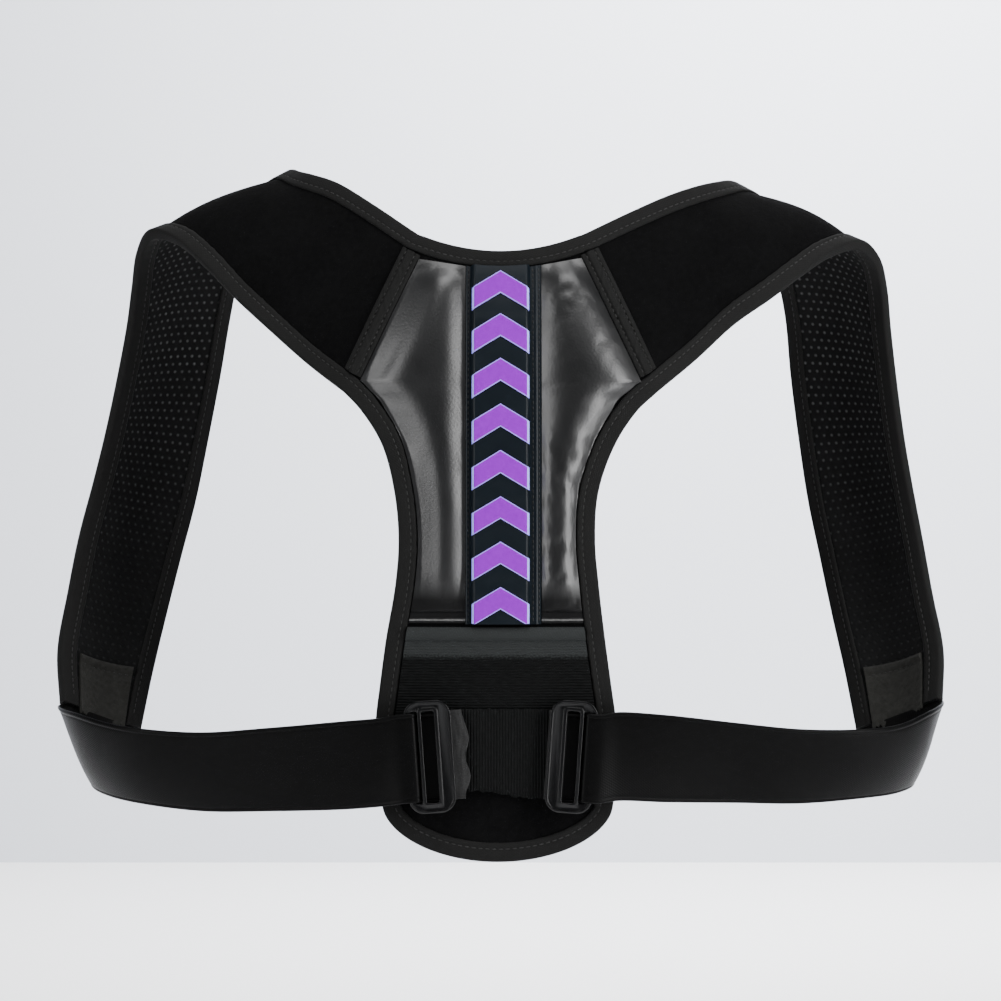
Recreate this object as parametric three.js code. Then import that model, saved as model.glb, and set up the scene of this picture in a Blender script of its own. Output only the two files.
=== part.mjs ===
// Posture corrector: a padded back panel with two shoulder straps that loop under the arms and
// return as elastic webbing to a pair of slide buckles low on the panel.
// Millimetres, +Z up. The panel's outer face looks along -Y, the wearer's body is on the +Y side,
// and the origin is on the panel's body side, on the midline between the shoulder blades.

import * as THREE from 'three';
import { mergeVertices } from 'three/addons/utils/BufferGeometryUtils.js';

// Overall reach
const HALF_SPAN = 200;        // midline to the outermost strap edge
const STRAP_REACH = 140;      // how far the straps stand ahead of the panel
const RISE = 310;             // overall height, which the straps' heights follow
const STRAP_WIDTH = 68;
const WEBBING_WIDTH = 40;
const WEBBING = 1.5;          // thickness of the elastic webbing

// Back panel
const PANEL_HALF = 56;        // half width behind the buckles
const PANEL_DROP = 198.5;     // origin down to the lowest point of the flap
const SEAM_LOW_OUT = 70.2;    // lower end of the strap seam, from the midline
const SEAM_LOW_UP = 12.4;
const SEAM_TOP_OUT = 36.3;    // upper end of the strap seam, on the neckline
const SEAM_TOP_UP = 84.3;
const NECK_SAG = 7.6;         // how far the neckline dips below the seams' upper ends
const FLAP_START = 173;       // where the rounded flap begins, below the origin
const FLAP_POINT = 1.12;      // 1 for a half ellipse, more for a flap that narrows sooner
const FORWARD_CURVE = 25;     // the neckline leans this far toward the body
const CURVE_START = 27;       // below the origin, where that lean begins
const SIDE_CURVE = 7;         // the panel wraps round the back this far at the seams' lower ends

// Layers, from the body outward
const BOARD = 3.3;            // foam board of the panel, and the whole strap
const LINING = 1.0;           // spacer mesh on the straps' body side
const GAP = 0.3;              // clearance between neighbouring pieces
const TAPE = 0.8;             // binding tape
const BINDING_WIDTH = 6;
const FOLD_START = 0.2;       // past the board's edge, where the tape turns round it
const STRAP_CROWN = 3.6;      // how far the straps belly outward
const WEBBING_CROWN = 3;      // the same for the webbing where it rounds the flank

// Leather lobes, spine strip and ribbed elastic
const LOBE_EDGE = 1.0;        // leather thickness at its seams
const LOBE_PUFF = 4.2;        // padding under the middle of a lobe
const LOBE_BOTTOM = 86;       // below the origin
const LOBE_NECK_RISE = 1.2;   // the lobe's outer upper corner stands above its inner one
const LOBE_FLATNESS = { across: 3, up: 8, fullness: 0.8 };  // how soon the padding swells
const STRIP_HALF = 15.4;
const STRIP_BOTTOM = 91.5;
const STRIP_EDGE = 1.2;
const STRIP_RAISE = 4.4;
const STRIP_SHOULDER = 2.6;   // width of the rounded shoulder on each side
const STRIP_FLANGE = 2.6;     // flat margin beside the strip on the right, sewn down twice
const RIBBED_TOP = 92.8;      // below the origin
const RIBBED_BOTTOM = 170;
const RIBBED = 1.5;
const SEAM_TAPE_WIDTH = 9;
const SEAM_TAPE = 1.2;

// Chevron print
const CHEVRONS = 8;
const CHEVRON_HALF = 12.7;
const CHEVRON_DROP = 7.7;     // from the tip down to the shoulder
const CHEVRON_TALL = 10;      // height of the band
const CHEVRON_PITCH = 20.3;
const LOWEST_TIP = 74.7;      // below the origin
const PRINT = 0.5;

// Slide buckles
const BUCKLE_WIDTH = 21;
const BUCKLE = 3.2;           // thickness
const BUCKLE_EAR = 4.6;       // plastic above and below the slots
const BUCKLE_CORNER = 9;
const SLOT_PLAY = 0.6;        // room above and below the webbing in a slot
const OUTER_BAR = 3.2;
const THREAD_SLOT = 2.6;      // slot that the webbing goes down
const RIDGE_BAR = 2.0;
const OPEN_SLOT = 5.9;        // clear slot in the middle
const BUCKLE_OUT = 31.6;      // buckle centre from the midline
const BUCKLE_DOWN = 150.5;    // buckle centre below the origin
const BUCKLE_LEAN = 4;        // degrees, the lower end toward the midline
const BUCKLE_BEVEL = 0.5;
const THREAD_CORNER = 0.8;
const OPEN_CORNER = 1.2;
const TURN_RADIUS = 1.1;      // webbing turning into the slot
const LEAD_IN = 2;            // straight webbing before the buckle
const BAND_RAISED = 1;        // the ribbed band's middle above the buckles'
const TAIL_LEFT = 17;         // loose end past the left buckle's centre
const TAIL_RIGHT = 8;
const PATCH = 1.2;            // fastening patch on the strap's end

// Straps: a row per section from the panel seam to the lower end. out, ahead and up are the middle
// of the strap as shares of HALF_SPAN, STRAP_REACH and RISE, wide is a share of STRAP_WIDTH, and the
// strap's arm-to-neck direction turns ahead by turn degrees and climbs by climb degrees.
const STRAP_COLUMNS = ['out', 'ahead', 'up', 'wide', 'turn', 'climb'];
const STRAP_ROWS = {
  left: [
    [0.369, 0.196, 0.205, 1.20, 30, 66],
    [0.459, 0.254, 0.250, 1.12, 26, 61],
    [0.523, 0.300, 0.278, 1.03, 25, 55],
    [0.572, 0.357, 0.304, 0.96, 20, 43],
    [0.624, 0.429, 0.327, 0.97, 16, 30],
    [0.679, 0.521, 0.321, 0.96, 19, 20],
    [0.724, 0.643, 0.280, 0.92, 27, 14],
    [0.756, 0.739, 0.225, 0.87, 35, 11],
    [0.777, 0.800, 0.164, 0.85, 38, 7],
    [0.804, 0.846, 0.078, 0.85, 38, 4],
    [0.834, 0.868, -0.013, 0.84, 38, -3],
    [0.864, 0.864, -0.101, 0.84, 37, -9],
    [0.897, 0.836, -0.187, 0.83, 36, -11],
    [0.924, 0.782, -0.275, 0.79, 34, -12],
    [0.947, 0.700, -0.365, 0.74, 31, -15],
    [0.951, 0.611, -0.447, 0.63, 29, -20],
  ],
  right: [
    [0.372, 0.196, 0.201, 1.12, 28, 64],
    [0.464, 0.254, 0.242, 1.01, 27, 61],
    [0.537, 0.300, 0.268, 0.95, 25, 55],
    [0.598, 0.357, 0.290, 0.90, 22, 46],
    [0.653, 0.429, 0.308, 0.89, 19, 35],
    [0.712, 0.521, 0.310, 0.92, 21, 24],
    [0.763, 0.643, 0.276, 0.92, 28, 17],
    [0.795, 0.739, 0.225, 0.89, 34, 12],
    [0.815, 0.800, 0.160, 0.87, 38, 9],
    [0.832, 0.846, 0.074, 0.87, 38, 5],
    [0.852, 0.868, -0.017, 0.86, 38, -1],
    [0.873, 0.864, -0.103, 0.85, 37, -8],
    [0.897, 0.836, -0.187, 0.83, 36, -11],
    [0.921, 0.782, -0.279, 0.80, 34, -12],
    [0.943, 0.700, -0.365, 0.76, 30, -15],
    [0.948, 0.611, -0.445, 0.67, 27, -21],
  ],
};

// Side webbing: the same columns, with wide as a share of WEBBING_WIDTH. The strap's arm-side edge
// runs on as the webbing's upper edge round the flank and back to the buckle.
const WEBBING_ROWS = {
  left: [
    [0.976, 0.536, -0.471, 1.07, 42, -40],
    [0.984, 0.436, -0.484, 1.09, 59, -52],
    [0.962, 0.325, -0.490, 1.09, 77, -56],
    [0.903, 0.211, -0.499, 1.08, 90, -56],
    [0.820, 0.114, -0.506, 1.06, 91, -58],
    [0.675, 0.046, -0.512, 1.05, 91, -62],
    [0.525, -0.004, -0.507, 1.04, 90, -68],
    [0.355, -0.054, -0.499, 1.02, 88, -79],
    [0.262, -0.080, -0.493, 1.00, 86, -86],
  ],
  right: [
    [0.973, 0.536, -0.465, 1.10, 39, -40],
    [0.987, 0.436, -0.478, 1.10, 57, -52],
    [0.973, 0.325, -0.487, 1.08, 78, -56],
    [0.910, 0.211, -0.499, 1.03, 92, -54],
    [0.816, 0.114, -0.503, 1.00, 94, -56],
    [0.678, 0.046, -0.504, 1.00, 93, -61],
    [0.529, -0.004, -0.497, 1.00, 92, -68],
    [0.369, -0.054, -0.489, 1.01, 90, -79],
    [0.262, -0.080, -0.485, 1.00, 88, -86],
  ],
};

// Panel sides from the flap up to the strap seam: down is a share of PANEL_DROP, left and right are
// half widths as shares of PANEL_HALF.
const SIDE_ROWS = [
  [0.872, 0.945, 0.900],
  [0.821, 0.992, 0.934],
  [0.746, 1.004, 0.940],
  [0.670, 0.996, 0.920],
  [0.610, 0.970, 0.891],
  [0.499, 0.918, 0.838],
  [0.373, 0.842, 0.786],
  [0.272, 0.816, 0.757],
  [0.161, 0.850, 0.784],
  [0.055, 0.950, 0.918],
  [-0.022, 1.120, 1.100],
];

// Creases in the leather: side, across from the strip (0) to the arm edge (1), up from the bottom
// (0) to the neckline (1), half length up, half width across, and depth as a share of LOBE_PUFF.
const CREASES = [
  { side: -1, across: 0.42, up: 0.10, tall: 0.06, broad: 0.30, depth: 0.35 },
  { side: -1, across: 0.70, up: 0.42, tall: 0.10, broad: 0.16, depth: 0.25 },
  { side: 1, across: 0.75, up: 0.72, tall: 0.05, broad: 0.35, depth: 0.30 },
  { side: 1, across: 0.62, up: 0.46, tall: 0.09, broad: 0.14, depth: 0.30 },
  { side: 1, across: 0.40, up: 0.09, tall: 0.05, broad: 0.30, depth: 0.35 },
];

const FINISHES = {
  velour: new THREE.MeshStandardMaterial({ color: 0x141415, roughness: 0.95, metalness: 0 }),
  mesh: new THREE.MeshStandardMaterial({ color: 0x1d1f1f, roughness: 0.9, metalness: 0 }),
  binding: new THREE.MeshStandardMaterial({ color: 0x2b2b2a, roughness: 0.7, metalness: 0 }),
  leather: new THREE.MeshStandardMaterial({ color: 0x1c1c1d, roughness: 0.38, metalness: 0 }),
  print: new THREE.MeshStandardMaterial({ color: 0xa83cd0, roughness: 0.45, metalness: 0 }),
  ribbed: new THREE.MeshStandardMaterial({ color: 0x121415, roughness: 0.85, metalness: 0 }),
  webbing: new THREE.MeshStandardMaterial({ color: 0x232322, roughness: 0.7, metalness: 0 }),
  patch: new THREE.MeshStandardMaterial({ color: 0x2f2f2b, roughness: 0.95, metalness: 0 }),
  plastic: new THREE.MeshStandardMaterial({ color: 0x1a1a1c, roughness: 0.3, metalness: 0 }),
};

const SIDES = { left: -1, right: 1 };
const STEPS_PER_ROW = 2;      // strap sections drawn for each row of a table
const FLANK_ROWS = 7;         // webbing rows that lie round the flank
const SIDE_STEPS = 16;        // panel edge, flap to seam
const SIDE_RUN_ON = 8;        // the side's line carried on past the seam's lower end
const ACROSS_STEPS = 10;
const CROWN_PLACES = [0.34, 0.66];   // columns of a strap that carry its crown

const EDGE_INSET = GAP + TAPE;                       // board edge to the outside of its binding
const BINDING_COVER = BINDING_WIDTH - EDGE_INSET;    // binding over the board
const TRIM_CLEAR = BINDING_COVER + GAP;              // board edge to what lies inside the binding
const RIBBED_FACE = BOARD + GAP + RIBBED;
const CENTRE_FACE = RIBBED_FACE + GAP + WEBBING;
const TAIL_FACE = CENTRE_FACE + GAP + WEBBING;
const BUCKLE_MIDDLE = TAIL_FACE + GAP + BUCKLE / 2;
const SLOT_HEIGHT = WEBBING_WIDTH + 2 * SLOT_PLAY;
const BUCKLE_HEIGHT = SLOT_HEIGHT + 2 * BUCKLE_EAR;

const lerp = THREE.MathUtils.lerp;
const radians = THREE.MathUtils.degToRad;
const sum = (a, b, share = 1) => a.clone().addScaledVector(b, share);

// A closed mesh from corner points and triangles, turned so that its faces point out.
function solid(points, triangles) {
  const geometry = new THREE.BufferGeometry();
  geometry.setAttribute('position',
    new THREE.Float32BufferAttribute(points.flatMap((p) => [p.x, p.y, p.z]), 3));
  let volume = 0;
  for (const [a, b, c] of triangles) {
    volume += points[a].dot(points[b].clone().cross(points[c]));
  }
  const index = volume < 0 ? triangles.map(([a, b, c]) => [a, c, b]) : triangles;
  geometry.setIndex(index.flat());
  geometry.computeVertexNormals();
  return geometry;
}

// A slab between two grids of points with the same rows and columns.
function slab(low, high) {
  const rows = low.length;
  const columns = low[0].length;
  const points = [...low.flat(), ...high.flat()];
  const top = rows * columns;
  const at = (i, j) => i * columns + j;
  const triangles = [];
  const quad = (a, b, c, d) => triangles.push([a, b, c], [a, c, d]);
  for (let i = 0; i + 1 < rows; i += 1) {
    for (let j = 0; j + 1 < columns; j += 1) {
      quad(at(i, j), at(i, j + 1), at(i + 1, j + 1), at(i + 1, j));
      triangles.push([top + at(i, j), top + at(i + 1, j + 1), top + at(i, j + 1)]);
      triangles.push([top + at(i, j), top + at(i + 1, j), top + at(i + 1, j + 1)]);
    }
  }
  const rim = [];
  for (let j = 0; j < columns; j += 1) rim.push(at(0, j));
  for (let i = 1; i < rows; i += 1) rim.push(at(i, columns - 1));
  for (let j = columns - 2; j >= 0; j -= 1) rim.push(at(rows - 1, j));
  for (let i = rows - 2; i > 0; i -= 1) rim.push(at(i, 0));
  rim.forEach((a, k) => {
    const b = rim[(k + 1) % rim.length];
    quad(b, a, top + a, top + b);
  });
  return solid(points, triangles);
}

// A bar through a list of rings, each ring the same 2-D profile in space.
function sweep(rings, profile) {
  const sides = profile.length;
  const triangles = [];
  for (let i = 0; i + 1 < rings.length; i += 1) {
    for (let k = 0; k < sides; k += 1) {
      const next = (k + 1) % sides;
      const [a, b] = [i * sides + k, i * sides + next];
      triangles.push([a, b, b + sides], [a, b + sides, a + sides]);
    }
  }
  const end = (rings.length - 1) * sides;
  for (const [a, b, c] of THREE.ShapeUtils.triangulateShape(profile, [])) {
    triangles.push([a, c, b], [end + a, end + b, end + c]);
  }
  return solid(rings.flat(), triangles);
}

// A smooth value through [place, value] pairs sorted by place.
function smooth(pairs, place) {
  const curve = new THREE.CatmullRomCurve3(
    pairs.map(([x, y]) => new THREE.Vector3(x, y, 0)), false, 'centripetal');
  let [low, high] = [0, 1];
  for (let k = 0; k < 30; k += 1) {
    const middle = (low + high) / 2;
    if (curve.getPoint(middle).x < place) low = middle;
    else high = middle;
  }
  return curve.getPoint((low + high) / 2).y;
}

// The panel's body side as a sheet bent round the back, and a point lifted off it.
function panelDepth(x, z) {
  const climb = Math.max(0, z + CURVE_START) / (SEAM_TOP_UP + CURVE_START);
  return FORWARD_CURVE * climb ** 2 + SIDE_CURVE * (x / SEAM_LOW_OUT) ** 2;
}

function panelNormal(x, z) {
  const step = 0.5;
  const acrossSlope = (panelDepth(x + step, z) - panelDepth(x - step, z)) / (2 * step);
  const upSlope = (panelDepth(x, z + step) - panelDepth(x, z - step)) / (2 * step);
  return new THREE.Vector3(acrossSlope, -1, upSlope).normalize();
}

function onPanel(x, z, lift) {
  return sum(new THREE.Vector3(x, panelDepth(x, z), z), panelNormal(x, z), lift);
}

// The panel's finished outline: its sides as a distance from the midline, and its neckline.
function sideOutline(side, z) {
  const column = side < 0 ? 1 : 2;
  const pairs = SIDE_ROWS.map((row) => [-row[0] * PANEL_DROP, row[column] * PANEL_HALF]);
  pairs.push([SEAM_LOW_UP, SEAM_LOW_OUT]);
  pairs.push([SEAM_LOW_UP + SIDE_RUN_ON, SEAM_LOW_OUT + SIDE_RUN_ON]);
  return smooth(pairs, z);
}

function sideInset(side, z, inset) {
  const step = 1;
  const slope = (sideOutline(side, z + step) - sideOutline(side, z - step)) / (2 * step);
  return sideOutline(side, z) - inset * Math.hypot(1, slope);
}

function neckHeight(x, inset) {
  const share = Math.min(1, Math.abs(x) / SEAM_TOP_OUT);
  const slope = 2 * NECK_SAG * share / SEAM_TOP_OUT;
  return SEAM_TOP_UP - NECK_SAG * (1 - share ** 2) - inset * Math.hypot(1, slope);
}

// The strap seam is a straight line on the sheet, here moved toward the midline by inset.
function seamOut(z, inset) {
  const run = SEAM_LOW_OUT - SEAM_TOP_OUT;
  const climb = SEAM_TOP_UP - SEAM_LOW_UP;
  return SEAM_LOW_OUT - run * (z - SEAM_LOW_UP) / climb - inset * Math.hypot(run, climb) / climb;
}

const flat = (x, z) => new THREE.Vector2(x, z);

// Where a falling function crosses zero.
function crossing(low, high, height) {
  for (let k = 0; k < 30; k += 1) {
    const middle = (low + high) / 2;
    if (height(middle) > 0) low = middle;
    else high = middle;
  }
  return low;
}

// Corners of the board on the strap seam, inside the arm-side binding and the neck binding.
function seamCorners(side) {
  const low = crossing(SEAM_LOW_UP - SIDE_RUN_ON, SEAM_LOW_UP + SIDE_RUN_ON,
    (z) => seamOut(z, 0) - sideInset(side, z, EDGE_INSET));
  const top = crossing(SEAM_LOW_UP, SEAM_TOP_UP, (z) => neckHeight(seamOut(z, 0), EDGE_INSET) - z);
  return { low: flat(side * seamOut(low, 0), low), top: flat(side * seamOut(top, 0), top) };
}

// Places across a strap: its edges, the insides of its bindings and its middle.
function places(width) {
  const cover = TRIM_CLEAR / width;
  return [0, cover, ...CROWN_PLACES, 1 - cover, 1];
}

// The board's edges as flat points, each from the flap upward or from left to right.
function boardSide(side) {
  const { low } = seamCorners(side);
  const points = [];
  for (let i = 0; i < SIDE_STEPS; i += 1) {
    const z = lerp(-FLAP_START, low.y, i / SIDE_STEPS);
    points.push(flat(side * sideInset(side, z, EDGE_INSET), z));
  }
  return [...points, low];
}

function boardSeam(side) {
  const { low, top } = seamCorners(side);
  return places(low.distanceTo(top)).map((share) => low.clone().lerp(top, share));
}

function boardNeck() {
  const ends = [boardSeam(-1).at(-1).x, boardSeam(1).at(-1).x];
  const points = [];
  for (let j = 0; j <= ACROSS_STEPS; j += 1) {
    const x = lerp(ends[0], ends[1], j / ACROSS_STEPS);
    points.push(flat(x, neckHeight(x, EDGE_INSET)));
  }
  return points;
}

function boardFlap() {
  const ends = [boardSide(-1)[0], boardSide(1)[0]];
  const deep = PANEL_DROP - FLAP_START - EDGE_INSET;
  const points = [];
  for (let j = 0; j <= ACROSS_STEPS; j += 1) {
    const turn = Math.PI * j / ACROSS_STEPS;
    const x = lerp(ends[0].x, ends[1].x, (1 - Math.cos(turn)) / 2);
    points.push(flat(x, -FLAP_START - deep * Math.max(0, Math.sin(turn)) ** FLAP_POINT));
  }
  return points;
}

// A grid of flat points filled in between four edges that share their corners.
function fillBetween(bottom, top, left, right) {
  return left.map((start, i) => {
    const v = i / (left.length - 1);
    return bottom.map((foot, j) => {
      const u = j / (bottom.length - 1);
      const blend = (axis) => lerp(foot[axis], top[j][axis], v) + lerp(start[axis], right[i][axis], u)
        - lerp(lerp(bottom[0][axis], bottom.at(-1)[axis], u), lerp(top[0][axis], top.at(-1)[axis], u), v);
      return flat(blend('x'), blend('y'));
    });
  });
}

function between(start, end, steps) {
  return Array.from({ length: steps + 1 }, (_, i) => start.clone().lerp(end, i / steps));
}

// A piece lying on the panel: low and high lifts are functions of the shares across and up.
function panelPiece(grid, low, high) {
  const lifted = (lift) => grid.map((row, i) => row.map((p, j) => (
    onPanel(p.x, p.y, lift(j / (row.length - 1), i / (grid.length - 1), p)))));
  return slab(lifted(low), lifted(high));
}

function boardGeometry() {
  const grid = fillBetween(boardFlap(), boardNeck(),
    [...boardSide(-1), ...boardSeam(-1).slice(1)], [...boardSide(1), ...boardSeam(1).slice(1)]);
  return panelPiece(grid, () => 0, () => BOARD);
}

// The strip's edge from the midline; the right one has the flange.
const stripReach = (side) => STRIP_HALF + (side === SIDES.right ? STRIP_FLANGE : 0);

// Leather lobe between the spine strip, the neckline, the seam tape and the arm edge.
function lobeGeometry(side) {
  const acrossSteps = 7;
  const upSteps = 15;
  const clear = EDGE_INSET + TRIM_CLEAR;
  const inner = stripReach(side) + GAP;
  const outerEdge = (z) => Math.min(
    z < SEAM_LOW_UP + SIDE_RUN_ON / 2 ? sideInset(side, z, clear) : Infinity,
    seamOut(z, SEAM_TAPE_WIDTH / 2 + GAP));
  const innerTop = neckHeight(inner, clear);
  const outerTop = innerTop + LOBE_NECK_RISE;
  const grid = [];
  for (let i = 0; i <= upSteps; i += 1) {
    const innerZ = lerp(-LOBE_BOTTOM, innerTop, i / upSteps);
    const outerZ = lerp(-LOBE_BOTTOM, outerTop, i / upSteps);
    const row = [];
    for (let j = 0; j <= acrossSteps; j += 1) {
      const u = j / acrossSteps;
      row.push(flat(side * lerp(inner, outerEdge(outerZ), u), lerp(innerZ, outerZ, u)));
    }
    grid.push(row);
  }
  const puff = (u, v) => {
    const swell = (share, power) => (1 - Math.abs(2 * share - 1) ** power) ** LOBE_FLATNESS.fullness;
    let height = swell(u, LOBE_FLATNESS.across) * swell(v, LOBE_FLATNESS.up);
    for (const crease of CREASES.filter((c) => c.side === side)) {
      const reach = ((u - crease.across) / crease.broad) ** 2 + ((v - crease.up) / crease.tall) ** 2;
      height -= crease.depth * Math.exp(-reach) * height;
    }
    return BOARD + GAP + LOBE_EDGE + LOBE_PUFF * height;
  };
  return panelPiece(grid, () => BOARD + GAP, puff);
}

// The strip's height above its own edge, flat on top with rounded shoulders and a flat flange.
function stripRaise(x) {
  const inward = Math.min(1, (STRIP_HALF - Math.abs(x)) / STRIP_SHOULDER);
  return STRIP_EDGE + (STRIP_RAISE - STRIP_EDGE) * Math.sin(Math.max(0, inward) * Math.PI / 2);
}

function stripGeometry() {
  const upSteps = 16;
  const shoulders = [0, 0.35, 1].map((share) => share * STRIP_SHOULDER - STRIP_HALF);
  const columns = [...shoulders, 0, ...shoulders.map((x) => -x).reverse(), stripReach(SIDES.right)];
  const grid = [];
  for (let i = 0; i <= upSteps; i += 1) {
    grid.push(columns.map((x) => {
      const top = neckHeight(x, EDGE_INSET + TRIM_CLEAR);
      return flat(x, lerp(-STRIP_BOTTOM, top, i / upSteps));
    }));
  }
  return panelPiece(grid, () => BOARD + GAP, (u, v, p) => BOARD + GAP + stripRaise(p.x));
}

// Heights of the chevrons' tips, equally spaced along the bent sheet.
function chevronTips() {
  const tips = [];
  let z = -LOWEST_TIP;
  for (let i = 0; i < CHEVRONS; i += 1) {
    tips.push(z);
    const normal = panelNormal(0, z + CHEVRON_PITCH / 2);
    z += CHEVRON_PITCH * Math.hypot(normal.x, normal.y);
  }
  return tips;
}

function chevronGeometry(tip) {
  const columns = [-1, -0.5, 0, 0.5, 1];
  const floor = -STRIP_BOTTOM + GAP;
  const edge = (drop) => columns.map((share) => (
    flat(share * CHEVRON_HALF, Math.max(floor, tip - drop - CHEVRON_DROP * Math.abs(share)))));
  const surface = (x) => BOARD + GAP + stripRaise(x) + GAP;
  return panelPiece([edge(CHEVRON_TALL), edge(0)],
    (u, v, p) => surface(p.x), (u, v, p) => surface(p.x) + PRINT);
}

function ribbedGeometry() {
  const upSteps = 6;
  const grid = [];
  for (let i = 0; i <= upSteps; i += 1) {
    const z = lerp(-RIBBED_BOTTOM, -RIBBED_TOP, i / upSteps);
    const reach = (side) => side * sideInset(side, z, EDGE_INSET + TRIM_CLEAR);
    grid.push(between(flat(reach(-1), z), flat(reach(1), z), 5));
  }
  return panelPiece(grid, () => BOARD + GAP, () => RIBBED_FACE);
}

// The two edges of a strap or webbing at one section of its table.
function sectionEdges(side, row, width) {
  const section = Object.fromEntries(STRAP_COLUMNS.map((name, i) => [name, row[i]]));
  const middle = new THREE.Vector3(
    side * section.out * HALF_SPAN, section.ahead * STRAP_REACH, section.up * RISE);
  const turn = radians(section.turn);
  const climb = radians(section.climb);
  const across = new THREE.Vector3(
    -side * Math.cos(climb) * Math.cos(turn), Math.cos(climb) * Math.sin(turn), Math.sin(climb));
  const half = section.wide * width / 2;
  return { arm: sum(middle, across, -half), neck: sum(middle, across, half) };
}

// Smooth sections through a list of edge pairs, with the outward normal of each.
function sections(side, edges, steps) {
  const curve = (name) => new THREE.CatmullRomCurve3(edges.map((e) => e[name]), false, 'centripetal');
  const [arm, neck] = [curve('arm'), curve('neck')];
  const spans = edges.length - 1;
  const places = [0];
  for (let i = 0; i < spans; i += 1) {
    for (let k = 1; k <= steps(i); k += 1) places.push((i + k / steps(i)) / spans);
  }
  const list = places.map((t) => ({ arm: arm.getPoint(t), neck: neck.getPoint(t) }));
  list.forEach((section, i) => {
    const [before, after] = [list[Math.max(0, i - 1)], list[Math.min(list.length - 1, i + 1)]];
    const along = sum(after.arm, after.neck).sub(before.arm).sub(before.neck);
    const across = sum(section.neck, section.arm, -1);
    section.normal = along.cross(across).multiplyScalar(side).normalize();
  });
  return list;
}

// The strap's sections, with the edges moved in to where its board ends inside the binding. The
// first lies on the panel's sheet along the seam.
function strapSections(side) {
  const name = side < 0 ? 'left' : 'right';
  const { low, top } = seamCorners(side);
  const away = flat(side * (top.y - low.y), -side * (top.x - low.x)).normalize().multiplyScalar(GAP);
  const [start, end] = [low.clone().add(away), top.clone().add(away)];
  const edges = [{ arm: onPanel(start.x, start.y, BOARD / 2), neck: onPanel(end.x, end.y, BOARD / 2) }];
  for (const row of STRAP_ROWS[name]) {
    const { arm, neck } = sectionEdges(side, row, STRAP_WIDTH);
    const across = sum(neck, arm, -1).normalize();
    edges.push({ arm: sum(arm, across, EDGE_INSET), neck: sum(neck, across, -EDGE_INSET) });
  }
  const list = sections(side, edges, () => STEPS_PER_ROW);
  list[0].seam = [start, end];
  return list;
}

// One line of points across the strap, lifted off its middle layer.
function strapLine(list, i, lift) {
  const section = list[i];
  const [start, end] = list[0].seam;
  const easeIn = Math.min(1, i / (2 * STEPS_PER_ROW));
  return places(section.arm.distanceTo(section.neck)).map((t, j) => {
    const onSeam = (rise) => {
      const p = start.clone().lerp(end, t);
      return onPanel(p.x, p.y, BOARD / 2 + rise);
    };
    if (i === 0) return onSeam(lift);
    const bow = sum(onSeam(0), list[0].arm.clone().lerp(list[0].neck, t), -1);
    const crown = CROWN_PLACES.includes(t) ? STRAP_CROWN * easeIn : 0;
    const middle = section.arm.clone().lerp(section.neck, t);
    return sum(sum(middle, section.normal, lift + crown), bow, 1 - easeIn);
  });
}

const strapGrid = (list, lift) => list.map((section, i) => strapLine(list, i, lift));

function strapGeometry(side) {
  const list = strapSections(side);
  return slab(strapGrid(list, LINING + GAP - BOARD / 2), strapGrid(list, BOARD / 2));
}

function liningGeometry(side) {
  const list = strapSections(side);
  return slab(strapGrid(list, -BOARD / 2), strapGrid(list, LINING - BOARD / 2));
}

// The patch covers the strap's last row on the body side.
function patchGeometry(side) {
  const list = strapSections(side);
  const grid = (lift) => strapGrid(list, lift).slice(-STEPS_PER_ROW - 1).map((row) => row.slice(1, -1));
  return slab(grid(-BOARD / 2 - GAP - PATCH), grid(-BOARD / 2 - GAP));
}

// The seam tape lies half on the strap's first section and half on the panel.
function seamTapeGeometry(side) {
  const half = SEAM_TAPE_WIDTH / 2;
  const list = strapSections(side);
  const { low, top } = seamCorners(side);
  const inward = flat(-side * (top.y - low.y), side * (top.x - low.x)).normalize();
  const shares = places(list[0].arm.distanceTo(list[0].neck));
  const rows = (lift) => {
    const [near, far] = [strapLine(list, 0, BOARD / 2 + lift), strapLine(list, 1, BOARD / 2 + lift)];
    const onStrap = near.map((p, j) => p.clone().lerp(far[j], half / p.distanceTo(far[j])));
    const onBoard = shares.map((share) => {
      const p = low.clone().lerp(top, share).addScaledVector(inward, half);
      return onPanel(p.x, p.y, BOARD + lift);
    });
    return [onStrap, near, onBoard].map((row) => row.slice(1, -1));
  };
  return slab(rows(GAP), rows(GAP + SEAM_TAPE));
}

// Binding: a folded tape over a board edge. Each stop is an edge point at half the board's
// thickness, with the face's normal and a direction that points out of the board.
function bindingGeometry(stops) {
  const slot = BOARD / 2 + GAP;
  const face = slot + TAPE;
  const profile = [[-BINDING_COVER, slot], [GAP, slot], [GAP, -slot], [-BINDING_COVER, -slot],
    [-BINDING_COVER, -face], [FOLD_START, -face], [EDGE_INSET, -face / 2], [EDGE_INSET, face / 2],
    [FOLD_START, face], [-BINDING_COVER, face]].map(([x, y]) => flat(x, y));
  const rings = stops.map((stop) => (
    profile.map((p) => sum(sum(stop.point, stop.out, p.x), stop.normal, p.y))));
  return sweep(rings, profile);
}

// Stops along an edge of the panel's board, whose outer side lies toward hint.
function boardStops(points, hint) {
  const stops = points.map((p) => ({
    point: onPanel(p.x, p.y, BOARD / 2), normal: panelNormal(p.x, p.y) }));
  stops.forEach((stop, i) => {
    const [before, after] = [stops[Math.max(0, i - 1)], stops[Math.min(stops.length - 1, i + 1)]];
    stop.out = sum(after.point, before.point, -1).cross(stop.normal).normalize();
    if (stop.out.dot(hint) < 0) stop.out.negate();
  });
  return stops;
}

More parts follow.
